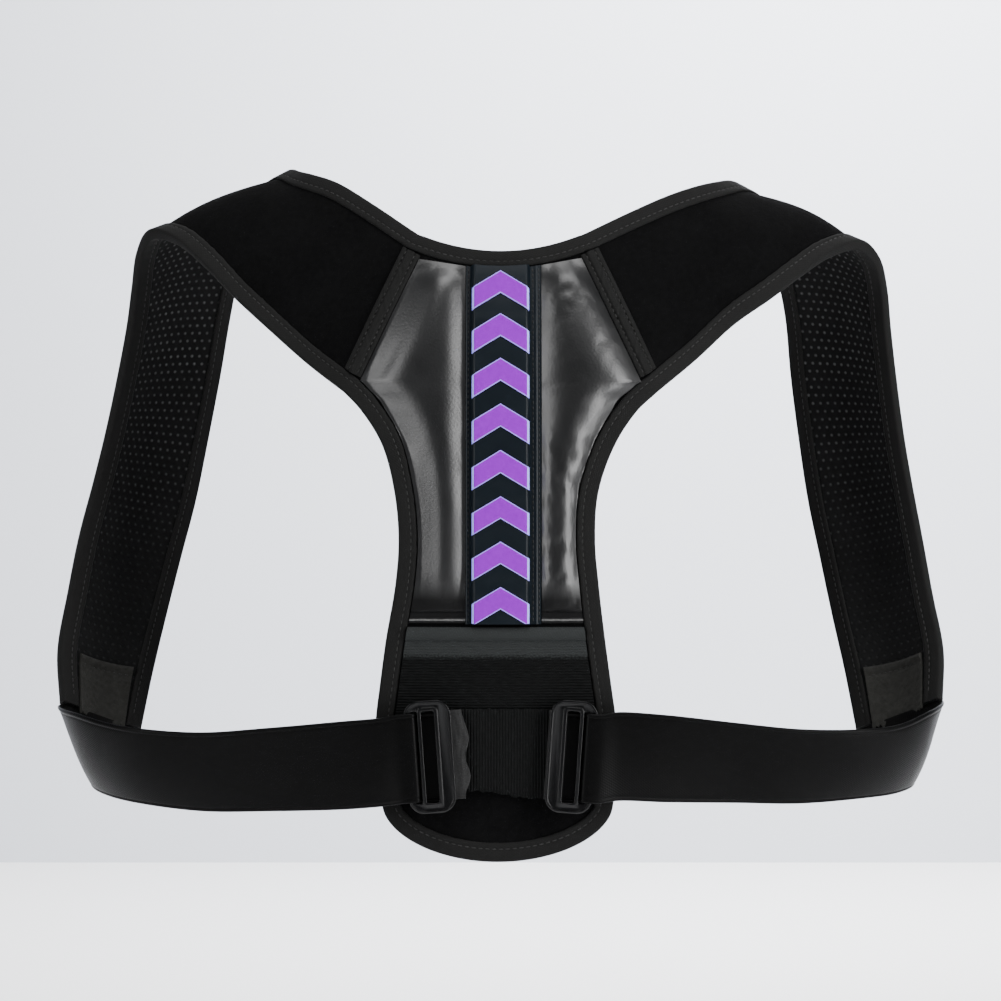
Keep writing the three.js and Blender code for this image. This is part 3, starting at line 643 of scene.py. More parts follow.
@dataclass
class Band:
    """A strap or a webbing as two edges and an outward normal."""

    arm: Array
    neck: Array
    normal: Array

    @classmethod
    def through(cls, side: Side, arm: Array, neck: Array, places: Array) -> "Band":
        """A band on smooth curves through the two edges.

        Args:
            side: The side that it lies on.
            arm: Points of the edge under the arm.
            neck: Points of the edge at the neck.
            places: Where its sections lie, from 0 to 1.

        Returns:
            The band.
        """
        arm, neck = curve(arm, places), curve(neck, places)
        normal = unit(np.cross(directions(arm + neck), neck - arm) * side.value)
        return cls(arm, neck, normal)

    def grid(self, across: Array, lift: Array | float) -> Array:
        """Points on the band.

        Args:
            across: Shares across it, from its arm edge.
            lift: How far they lie along its normal.

        Returns:
            Points in a row for each section.
        """
        t = across[None, :, None]
        flat = self.arm[:, None] * (1 - t) + self.neck[:, None] * t
        lift = np.broadcast_to(lift, flat.shape[:2])
        return flat + self.normal[:, None] * lift[..., None]


def section_edges(side: Side, rows: list[tuple], width: float) -> tuple[Array, Array]:
    """The edges of a strap or webbing from the rows of its table.

    Args:
        side: The side that it lies on.
        rows: Sections, with the columns that STRAP_ROWS names.
        width: The width that their fourth column is a share of.

    Returns:
        The edge points at the arm and at the neck, one for each row.
    """
    table = np.array(rows, float)
    middle = table[:, :3] * REACH * [side.value, 1, 1]
    turn, climb = np.radians(table[:, 4]), np.radians(table[:, 5])
    across = np.stack([-side.value * np.cos(climb) * np.cos(turn),
                       np.cos(climb) * np.sin(turn), np.sin(climb)], -1)
    half = table[:, 3:4] * width / 2
    return middle - across * half, middle + across * half


@dataclass
class StrapShape:
    """The strap's sections from its seam on the panel to its lower end."""

    side: Side
    sheet: PanelSheet
    width: float = 68
    crown: float = 3.6
    steps: int = 8
    band: Band = field(init=False)
    seam: tuple[Array, Array] = field(init=False)

    def __post_init__(self) -> None:
        """Lays the sections out."""
        layers, sheet = self.sheet.layers, self.sheet
        low, top = sheet.seam_corners(self.side)
        run = top - low
        away = unit(np.array([run[1], -run[0]]) * self.side.value) * layers.gap
        self.seam = (low + away, top + away)
        arm, neck = section_edges(self.side, STRAP_ROWS[self.side], self.width)
        across = unit(neck - arm)
        arm, neck = arm + across * layers.inset, neck - across * layers.inset
        first = [sheet.on(*end, layers.board / 2) for end in self.seam]
        places = np.linspace(0, 1, len(arm) * self.steps + 1)
        self.band = Band.through(self.side, np.vstack([first[0], arm]),
                                 np.vstack([first[1], neck]), places)

    def surface(self, shares: Array, lift: Array | float) -> Array:
        """Points on a layer of the strap.

        Args:
            shares: Places across, from the arm edge (0) to the neck edge (1).
            lift: Height off the middle layer, one value or one for each point.

        Returns:
            Points in a row for each section.
        """
        layers, band = self.sheet.layers, self.band
        start, end = self.seam
        free = np.minimum(1, np.arange(len(band.arm)) / (2 * self.steps))[:, None]
        flat = start + (end - start) * shares[:, None]
        lift = np.broadcast_to(lift, (len(band.arm), len(shares)))
        first = self.sheet.on(flat[:, 0], flat[:, 1], layers.board / 2)
        bow = first - (band.arm[0] + (band.neck[0] - band.arm[0]) * shares[:, None])
        cover = layers.clear / np.linalg.norm(band.neck - band.arm, axis=1)[:, None]
        inward = np.clip((shares[None] - cover) / (1 - 2 * cover), 0, 1)
        crown = self.crown * free * np.sin(np.pi * inward) ** 0.9
        points = band.grid(shares, lift + crown) + bow[None] * (1 - free)[..., None]
        points[0] = self.sheet.on(flat[:, 0], flat[:, 1], layers.board / 2 + lift[0])
        return points

    def stops(self, edge: str) -> tuple[Array, Array, Array]:
        """Stops for the binding along an edge of the strap.

        Args:
            edge: Either arm or neck.

        Returns:
            The edge's points, directions out of the strap and directions off its face.
        """
        layers = self.sheet.layers
        width = np.linalg.norm(self.band.neck - self.band.arm, axis=1)
        flat = self.band.grid(np.array([0.0, 1.0]), 0)
        tip = self.surface(np.array([0.0, 1.0]), 0)[:, 0 if edge == "arm" else 1]
        inner = np.empty_like(tip)
        for i, share in enumerate(layers.clear / width):
            share = share if edge == "arm" else 1 - share
            inner[i] = self.surface(np.array([share]), 0)[i, 0] if i < 2 * self.steps else (
                flat[i, 0] + (flat[i, 1] - flat[i, 0]) * share)
        out = unit(tip - inner)
        face = self.band.normal.copy()
        face[0] = self.sheet.normal(*self.seam[0 if edge == "arm" else 1])
        return tip, out, unit(face - out * np.sum(face * out, axis=1, keepdims=True))


class Graph:
    """A short way to place and join the nodes of one material or group."""

    def __init__(self, tree: Effect) -> None:
        """Works on a node tree."""
        self.tree = tree

    def add(self, kind: str, inputs: dict | None = None, **settings: object) -> Node:
        """Adds a node, sets it up, and fills its inputs with values or joins.

        Args:
            kind: The node's type, without its ShaderNode prefix.
            inputs: Values or output sockets by input name or number.
            settings: The node's own properties.

        Returns:
            The node.
        """
        node = self.tree.nodes.new("ShaderNode" + kind)
        for key, value in settings.items():
            setattr(node, key, value)
        for key, value in (inputs or {}).items():
            self.put(node, key, value)
        return node

    def put(self, node: Node, key: str | int, value: object) -> None:
        """Fills one input of a node.

        Args:
            node: The node.
            key: The input's name or number.
            value: A value, or the output socket to join to it.
        """
        if isinstance(value, Socket):
            self.tree.links.new(value, node.inputs[key])
        else:
            node.inputs[key].default_value = value

    def math(self, operation: str, *values: object, clamp: bool = False) -> Socket:
        """The result of a Math node on values or sockets."""
        node = self.add("Math", dict(enumerate(values)), operation=operation, use_clamp=clamp)
        return node.outputs[0]

    def times(self, *values: object, clamp: bool = False) -> Socket:
        """The product of two values or sockets."""
        return self.math("MULTIPLY", *values, clamp=clamp)

    def plus(self, *values: object, clamp: bool = False) -> Socket:
        """The sum of two values or sockets."""
        return self.math("ADD", *values, clamp=clamp)

    def minus(self, *values: object, clamp: bool = False) -> Socket:
        """The difference of two values or sockets."""
        return self.math("SUBTRACT", *values, clamp=clamp)

    def blend(self, share: object, first: object, second: object) -> Socket:
        """A colour between two colours.

        Args:
            share: How much of the second it takes.
            first: A colour or socket.
            second: A colour or socket.

        Returns:
            The mixed colour's socket.
        """
        node = self.add("Mix", data_type="RGBA")
        for key, value in ((0, share), (6, first), (7, second)):
            self.put(node, key, value)
        return node.outputs[2]

    def noise(self, vector: Socket, scale: Socket | float, detail: float = 3) -> Socket:
        """A Noise Texture's value."""
        return self.add("TexNoise", {"Vector": vector, "Scale": scale, "Detail": detail}).outputs[0]

    def parts(self, vector: Socket) -> list[Socket]:
        """The three values of a vector."""
        return list(self.add("SeparateXYZ", {0: vector}).outputs)

    def pinched(self, parts: list[Socket], share: float) -> Socket:
        """A place whose second value is scaled, so that a noise on it is drawn out."""
        return self.add("CombineXYZ", {0: parts[0], 1: self.times(parts[1], share)}).outputs[0]


class Surface(Graph):
    """The nodes of one finish's material."""

    def __init__(self, material: bpy.types.Material, effects: dict[str, Effect]) -> None:
        """Works on a material.

        Args:
            material: The material.
            effects: The shared node groups that it may use.
        """
        super().__init__(material.node_tree)
        self.shader = material.node_tree.nodes["Principled BSDF"]
        self.effects = effects

    def place(self) -> Socket:
        """The place on the object, in metres."""
        return self.add("TexCoord").outputs["Object"]

    def cloth(self) -> Socket:
        """The place on the piece's cloth map."""
        return self.add("UVMap", uv_map=CLOTH_UV).outputs[0]

    def effect(self, name: str, **inputs: object) -> bpy.types.NodeOutputs:
        """Places a shared effect.

        Args:
            name: The effect's name.
            inputs: Values or sockets by input name.

        Returns:
            Its outputs.
        """
        node = self.tree.nodes.new("ShaderNodeGroup")
        node.node_tree = self.effects[name]
        for key, value in inputs.items():
            self.put(node, key, value)
        return node.outputs

    def give(self, key: str, value: object) -> None:
        """Fills one input of the shader."""
        self.put(self.shader, key, value)

    def so_far(self, key: str) -> Socket:
        """What an input of the shader is joined to so far."""
        return self.shader.inputs[key].links[0].from_socket

    def emboss(self, height: Socket, distance: float, strength: float) -> None:
        """Feeds a height to the shader as bump."""
        bump = self.add("Bump", {"Strength": strength, "Distance": distance, "Height": height})
        self.give("Normal", bump.outputs[0])


class Effects:
    """Surface effects that several finishes share, each a node group built once."""

    @staticmethod
    def start(name: str, sizes: tuple[str, ...], outputs: tuple[str, ...]) -> tuple:
        """A new group that is given a vector and some sizes.

        Args:
            name: The group's name.
            sizes: Names of its value inputs.
            outputs: Names of its value outputs.

        Returns:
            The group, its graph, what it is given and its output node.
        """
        tree = bpy.data.node_groups.new(name, "ShaderNodeTree")
        tree.interface.new_socket("Vector", in_out="INPUT", socket_type="NodeSocketVector")
        for way, keys in (("INPUT", sizes), ("OUTPUT", outputs)):
            for key in keys:
                tree.interface.new_socket(key, in_out=way, socket_type="NodeSocketFloat")
        given = tree.nodes.new("NodeGroupInput").outputs
        return tree, Graph(tree), given, tree.nodes.new("NodeGroupOutput")

    @classmethod
    def fuzz(cls) -> Effect:
        """Short brushed fibres: a fine height and a soft patchy shade.

        Returns:
            The group.
        """
        tree, graph, given, result = cls.start("fibre_fuzz", ("Fibres",), ("Height", "Shade"))
        fine = graph.noise(given["Vector"], given["Fibres"], 4)
        patches, tufts = (graph.noise(given["Vector"], scale, 2) for scale in (45, 420))
        shade = graph.plus(graph.times(patches, 0.45), graph.times(tufts, 0.55))
        graph.put(result, "Height", graph.plus(graph.times(fine, 0.6), graph.times(tufts, 0.4)))
        graph.put(result, "Shade", shade)
        return tree

    @classmethod
    def weave(cls) -> Effect:
        """Plain weave on the cloth's own map: a height and an over-under mask.

        Returns:
            The group.
        """
        tree, graph, given, result = cls.start("plain_weave", ("Along", "Across"), ("Height", "Mask"))
        waves = [graph.math("SINE", graph.math("DIVIDE", graph.times(part, math.pi), given[name]))
                 for part, name in zip(graph.parts(given["Vector"]), ("Along", "Across"))]
        over = graph.times(*waves)
        rise = graph.math("MAXIMUM", *(graph.math("ABSOLUTE", wave) for wave in waves))
        graph.put(result, "Mask", graph.plus(graph.times(over, 0.5), 0.5))
        graph.put(result, "Height", graph.times(rise, graph.plus(0.6, graph.times(over, 0.4))))
        return tree

    @classmethod
    def grain(cls) -> Effect:
        """Fine pebbled leather grain with soft unevenness.

        Returns:
            The group.
        """
        tree, graph, given, result = cls.start("leather_grain", ("Cells",), ("Height", "Shade"))
        cells = graph.add("TexVoronoi", {"Vector": given["Vector"], "Scale": given["Cells"]},
                          feature="SMOOTH_F1").outputs["Distance"]
        fine = graph.noise(given["Vector"], 700, 3)
        graph.put(result, "Height", graph.plus(graph.times(cells, 0.5), graph.times(fine, 0.5)))
        graph.put(result, "Shade", graph.noise(given["Vector"], 60, 3))
        return tree

    @classmethod
    def build(cls) -> dict[str, Effect]:
        """All the effects by name."""
        return {"fuzz": cls.fuzz(), "weave": cls.weave(), "grain": cls.grain()}


def paint(colour: Colour, share: float = 1.0) -> tuple[float, float, float, float]:
    """A colour as a socket takes it, times a share."""
    return (*(channel * share for channel in colour), 1.0)


@dataclass(frozen=True)
class Finish:
    """A finish with its colour and gloss; each kind adds its own pattern."""

    name: str
    colour: Colour
    roughness: float = 0.8
    specular: float = 0.3
    sheen: float = 0.0
    bump: float = 0.3

    def material(self, effects: dict[str, Effect]) -> bpy.types.Material:
        """The finish as a new material.

        Args:
            effects: The shared node groups.

        Returns:
            The material.
        """
        material = bpy.data.materials.new(self.name)
        material.use_nodes = True
        graph = Surface(material, effects)
        for key, value in (("Roughness", self.roughness), ("Specular IOR Level", self.specular),
                           ("Sheen Weight", self.sheen), ("Base Color", paint(self.colour))):
            graph.give(key, value)
        self.pattern(graph)
        return material

    def pattern(self, graph: Surface) -> None:
        """Adds the finish's own nodes."""

    def mottled(self, graph: Surface, share: Socket, spread: float) -> Socket:
        """The colour, darker and lighter by a spread as a share goes from 0 to 1."""
        return graph.blend(share, paint(self.colour, 1 - spread), paint(self.colour, 1 + spread))


@dataclass(frozen=True)
class Velour(Finish):
    """Brushed loop cloth."""

    fibres: float = 1800

    def pattern(self, graph: Surface) -> None:
        """Fibres and soft patches.

        Args:
            graph: The material's nodes.
        """
        fuzz = graph.effect("fuzz", Vector=graph.place(), Fibres=self.fibres)
        graph.give("Base Color", graph.blend(
            fuzz["Shade"], paint(self.colour, 0.2), paint(self.colour, 2.0)))
        graph.emboss(fuzz["Height"], 0.0006, self.bump)


@dataclass(frozen=True)
class SpacerMesh(Finish):
    """Knit with rows of small round openings, staggered, that fade toward the lower end as painted
    shade.
    """

    pitch: float = 0.0038
    opening: float = 0.26
    dot: Colour = (0.05, 0.05, 0.05)
    fade: float = 9.0
    faintest: float = 0.12
    fibres: float = 1800

    def pattern(self, graph: Surface) -> None:
        """Openings on the cloth map and a fuzzy ground.

        Args:
            graph: The material's nodes.
        """
        cloth, place = graph.cloth(), graph.place()
        fuzz = graph.effect("fuzz", Vector=place, Fibres=self.fibres)
        along, across = (graph.math("DIVIDE", part, self.pitch) for part in graph.parts(cloth)[:2])
        stagger = graph.times(graph.math("MODULO", graph.math("FLOOR", along), 2.0), 0.5)
        across = graph.plus(across, stagger)
        offsets = [graph.minus(graph.math("FRACT", value), 0.5) for value in (along, across)]
        reach = graph.math("SQRT", graph.plus(*(graph.times(offset, offset) for offset in offsets)))
        hole = graph.minus(1.0, graph.math("DIVIDE", reach, self.opening), clamp=True)
        # Painted shade: the openings show less toward the lower end, by height alone.
        worn = graph.plus(graph.times(graph.parts(place)[2], self.fade), 0.75, clamp=True)
        uneven = graph.times(graph.noise(cloth, 70, 2), 2.0)
        shown = graph.times(graph.times(hole, uneven, clamp=True),
                            graph.math("MAXIMUM", worn, self.faintest))
        ground = self.mottled(graph, fuzz["Shade"], 0.5)
        graph.give("Base Color", graph.blend(shown, ground, paint(self.dot)))
        graph.emboss(graph.minus(graph.times(fuzz["Height"], 0.5), hole), 0.0006, self.bump)


@dataclass(frozen=True)
class Woven(Finish):
    """Tape or webbing with a fine weave."""

    along: float = 0.0008
    across: float = 0.0006
    depth: float = 0.0002
    fibres: float = 1800

    def pattern(self, graph: Surface) -> None:
        """Weave on the cloth map with slight patches.

        Args:
            graph: The material's nodes.
        """
        weave = graph.effect("weave", Vector=graph.cloth(), Along=self.along, Across=self.across)
        fuzz = graph.effect("fuzz", Vector=graph.place(), Fibres=self.fibres)
        shade = graph.plus(graph.times(weave["Mask"], 0.5), graph.times(fuzz["Shade"], 0.5))
        graph.give("Base Color", self.mottled(graph, shade, 0.4))
        height = graph.plus(weave["Height"], graph.times(fuzz["Height"], 0.4))
        graph.emboss(height, self.depth, self.bump)


@dataclass(frozen=True)
class RibbedElastic(Woven):
    """Ribbed elastic whose folded hem, past a distance on the map, is smoother, with a painted sheen
    that makes it paler.
    """

    hem_from: float = 0.0612
    dash_pale: float = 8
    hem_pale: float = 15

    def pattern(self, graph: Surface) -> None:
        """The weave, broken into dashes, and the painted sheen on the hem that fades in specks.

        Args:
            graph: The material's nodes.
        """
        super().pattern(graph)
        cloth = graph.cloth()
        parts = graph.parts(cloth)
        past = graph.times(graph.minus(parts[0], self.hem_from), 420.0)
        specks = graph.minus(graph.noise(cloth, 1100, 3), 0.5)
        hem = graph.plus(past, graph.times(specks, 3.0), clamp=True)
        dashes = graph.math("POWER", graph.noise(graph.pinched(parts, 0.25), 1300, 2), 3.0)
        dashed = graph.blend(dashes, graph.so_far("Base Color"), paint(self.colour, self.dash_pale))
        # The hem's paler colour is a painted sheen, for the light that its smooth fold reflects.
        graph.give("Base Color", graph.blend(hem, dashed, paint(self.colour, self.hem_pale)))


@dataclass(frozen=True)
class Webbing(Woven):
    """Smooth elastic webbing whose cut end is paler: its plush face, with a painted highlight where the
    tail curls to the light.
    """

    # How far the pale end reaches from the cut, in metres; the pale is partly the plush face and partly
    # a painted highlight.
    worn: float = 0.0085
    worn_pale: float = 34

    def pattern(self, graph: Surface) -> None:
        """The weave, and pale streaks near the cut end, where the map's first value is 0: partly the
        plush face's own colour, partly a painted highlight.

        Args:
            graph: The material's nodes.
        """
        super().pattern(graph)
        parts = graph.parts(graph.cloth())
        near_end = graph.plus(graph.math("DIVIDE", parts[0], self.worn), 1.0, clamp=True)
        streaks = graph.noise(graph.pinched(parts, 0.12), 900, 3)
        share = graph.times(graph.math("POWER", near_end, 0.3), streaks)
        graph.give("Base Color", graph.blend(
            share, graph.so_far("Base Color"), paint(self.colour, self.worn_pale)))


@dataclass(frozen=True)
class Leather(Finish):
    """Coated leather-look sheet with a fine grain."""

    coat: float = 0.25
    cells: float = 900

    def pattern(self, graph: Surface) -> None:
        """Grain in the height and soft changes in the gloss.

        Args:
            graph: The material's nodes.
        """
        grain = graph.effect("grain", Vector=graph.place(), Cells=self.cells)
        gloss = graph.plus(self.roughness - 0.08, graph.times(grain["Shade"], 0.16))
        for key, value in (("Roughness", gloss), ("Coat Weight", self.coat), ("Coat Roughness", 0.3),
                           ("Base Color", self.mottled(graph, grain["Shade"], 0.2))):
            graph.give(key, value)
        graph.emboss(grain["Height"], 0.0003, self.bump)


@dataclass(frozen=True)
class HemmedLeather(Leather):
    """Leather that turns matt toward its hem, with a painted highlight along the hem roll; metres down
    from the origin.
    """

    matt_below: float = 0.073
    hem_at: float = 0.0897
    backing: Colour = (0.10, 0.10, 0.098)

    def pattern(self, graph: Surface) -> None:
        """The leather, its matt end and the painted highlight line along the hem roll.

        Args:
            graph: The material's nodes.
        """
        super().pattern(graph)
        place = graph.place()
        down = graph.times(graph.parts(place)[2], -1.0)
        matt = graph.times(graph.minus(down, self.matt_below), 130.0, clamp=True)
        graph.give("Roughness", graph.plus(graph.so_far("Roughness"), graph.times(matt, 0.3)))
        graph.give("Specular IOR Level", graph.minus(
            self.specular, graph.times(matt, 0.85 * self.specular)))
        # A pale line at hem_at, its edge broken by noise: a painted highlight on the hem roll.
        off_hem = graph.math("ABSOLUTE", graph.minus(down, self.hem_at))
        worn = graph.times(graph.noise(place, 700, 2), 1.1)
        line = graph.minus(graph.plus(worn, 0.7), graph.times(off_hem, 2200.0), clamp=True)
        graph.give("Base Color", graph.blend(line, graph.so_far("Base Color"), paint(self.backing)))


@dataclass(frozen=True)
class ChevronPrint(Finish):
    """Purple print with a pale blue line along its edges; at the ends, on the welt's shoulders, the line
    is also a painted highlight.
    """

    edge: Colour = (0.30, 0.31, 0.86)
    end_from: float = 0.92
    line: float = 0.05
    slant_line: float = 0.6

    def pattern(self, graph: Surface) -> None:
        """Edge lines read from the chevron's own map.

        Args:
            graph: The material's nodes.
        """
        # The map holds shares, stored as thousandths by the mesh maker.
        out, up, _ = (graph.times(part, 1 / MM) for part in graph.parts(graph.cloth()))
        # The ends lie on the welt's rounded shoulders: their pale line is the print's own colour and
        # also a painted highlight.
        ends = graph.math("GREATER_THAN", graph.math("ABSOLUTE", out), self.end_from)
        rims = graph.math("MAXIMUM", graph.math("LESS_THAN", up, self.line),
                          graph.math("GREATER_THAN", up, 1 - self.line))
        lines = graph.math("MAXIMUM", ends, graph.times(rims, self.slant_line))
        speck = graph.noise(graph.place(), 500, 3)
        body = self.mottled(graph, speck, 0.12)
        graph.give("Base Color", graph.blend(lines, body, paint(self.edge)))
        graph.emboss(speck, 0.0001, self.bump)


@dataclass(frozen=True)
class Thread(Finish):
    """Twisted sewing thread."""

    def pattern(self, graph: Surface) -> None:
        """Twist and slight changes of shade.

        Args:
            graph: The material's nodes.
        """
        twist = graph.noise(graph.place(), 2600, 2)
        graph.give("Base Color", self.mottled(graph, twist, 0.5))
        graph.emboss(twist, 0.0002, self.bump)


@dataclass(frozen=True)
class MouldedPlastic(Finish):
    """Glossy moulded plastic with faint unevenness."""

    def pattern(self, graph: Surface) -> None:
        """Slight waviness and handling marks.

        Args:
            graph: The material's nodes.
        """
        place = graph.place()
        marks = graph.times(graph.noise(place, 260, 4), 0.12)
        graph.give("Roughness", graph.plus(self.roughness - 0.06, marks))
        graph.emboss(graph.noise(place, 120, 2), 0.0002, self.bump)


# By key: name, colour, roughness, specular, sheen, bump, and what is the kind's own.
FINISHES = {
    "velour": Velour("velour", (0.0019, 0.0019, 0.0020), 0.95, 0.03, 0.008, 0.9),
    "spacer_mesh": SpacerMesh("spacer_mesh", (0.0048, 0.0050, 0.0050), 0.9, 0.06, 0.014, 0.7),
    "binding": Woven("binding", (0.0054, 0.0054, 0.0052), 0.75, 0.08, 0.010, 0.45),
    "faux_leather": HemmedLeather("faux_leather", (0.0026, 0.0026, 0.0027), 0.36, 0.43, 0, 0.25,
                                  coat=0.12),
    "strip": Leather("strip_film", (0.0009, 0.0030, 0.0052), 0.46, 0.15, 0, 0.12, coat=0.03),
    "chevron_print": ChevronPrint("chevron_print", (0.19, 0.0001, 0.385), 0.6, 0.0, 0, 0.15),
    "ribbed_elastic": RibbedElastic("ribbed_elastic", (0.0011, 0.0012, 0.0012), 0.6, 0.05, 0.003,
                                    0.6),
    "elastic_webbing": Webbing("elastic_webbing", (0.0012, 0.0012, 0.0012), 0.38, 0.055, 0, 0.4),
    "hook_patch": Velour("hook_patch", (0.0134, 0.0134, 0.0122), 0.95, 0.1, 0.02, 1.0),
    "thread": Thread("thread", (0.0115, 0.0115, 0.011), 0.6, 0.2, 0, 0.4),
    "buckle_plastic": MouldedPlastic("buckle_plastic", (0.0014, 0.0014, 0.0015), 0.22, 0.34, 0, 0.1),
}


class Wardrobe:
    """Makes each finish's material once and dresses the pieces."""

    def __init__(self) -> None:
        """Builds the shared effects."""
        self.effects = Effects.build()
        self.made: dict[str, bpy.types.Material] = {}
        self.dressed = 0

    def dress(self, piece: Piece, finish: str, *nodes: str,
              slot: str | None = None) -> Piece:
        """Gives a piece its material and body, and hides the solids that it stands for.

        Args:
            piece: The finished piece.
            finish: A key of FINISHES.
            nodes: The solids that it replaces.
            slot: The record's slot, if it isn't the finish's own name; not used.

        Returns:
            The piece.
        """
        if finish not in self.made:
            self.made[finish] = FINISHES[finish].material(self.effects)
        piece.data.materials.clear()
        piece.data.materials.append(self.made[finish])
        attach(piece, BODY)
        if nodes:
            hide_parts(*nodes)
        self.dressed += 1
        LOG.info("%s: %d faces, %s", piece.name, len(piece.data.polygons), finish)
        return piece


@dataclass
class CoverSim:
    """Lets the face of a stuffed pad settle as cloth under pressure, its seams held."""

    scale: float = 10
    pressure: float = 1.6
    growth: float = 0.006
    frames: int = 20
    reach: float = 0.7
    smoothing: int = 6
    quality: int = 6
    mass: float = 0.02
    stretching: float = 12
    shearing: float = 4
    bending: float = 0.4

    def settle(self, grid: Array, held: Array) -> Array:
        """The face after the simulation.

        Args:
            grid: The face's points in millimetres, in rows and columns.
            held: True where the face is sewn down.

        Returns:
            The points in their new places, none further than reach from its old one.
        """
        flat = grid.reshape(-1, 3)
        mesh = bpy.data.meshes.new("cover")
        mesh.from_pydata((flat * MM * self.scale).tolist(), [], grid_faces(*grid.shape[:2]).tolist())
        cover = bpy.data.objects.new("cover", mesh)
        bpy.context.scene.collection.objects.link(cover)
        sewn = cover.vertex_groups.new(name="sewn")
        sewn.add(np.flatnonzero(held.ravel()).tolist(), 1.0, "REPLACE")
        cloth = cover.modifiers.new("cloth", "CLOTH")
        settings = cloth.settings
        settings.vertex_group_mass = "sewn"
        settings.quality, settings.mass = self.quality, self.mass
        settings.tension_stiffness = settings.compression_stiffness = self.stretching
        settings.shear_stiffness, settings.bending_stiffness = self.shearing, self.bending
        settings.use_pressure, settings.uniform_pressure_force = True, self.pressure
        settings.shrink_min = -self.growth
        settings.effector_weights.gravity = 0
        cloth.collision_settings.use_collision = False
        cloth.point_cache.frame_start, cloth.point_cache.frame_end = 1, self.frames
        for step in range(1, self.frames + 1):
            bpy.context.scene.frame_set(step)
        shaped = cover.evaluated_get(bpy.context.evaluated_depsgraph_get()).data
        moved = np.empty(len(flat) * 3, np.float32)
        shaped.vertices.foreach_get("co", moved)
        bpy.context.scene.frame_set(1)
        bpy.data.objects.remove(cover)
        shift = moved.reshape(-1, 3) / (MM * self.scale) - flat
        size = np.linalg.norm(shift, axis=1, keepdims=True)
        LOG.info("cover moved %.2f mm on average, %.2f at most", size.mean(), size.max())
        shift *= np.minimum(1, self.reach / np.maximum(size, 1e-6))
        shift = shift.reshape(grid.shape)
        soften(shift, 0.6, self.smoothing)
        return grid + shift


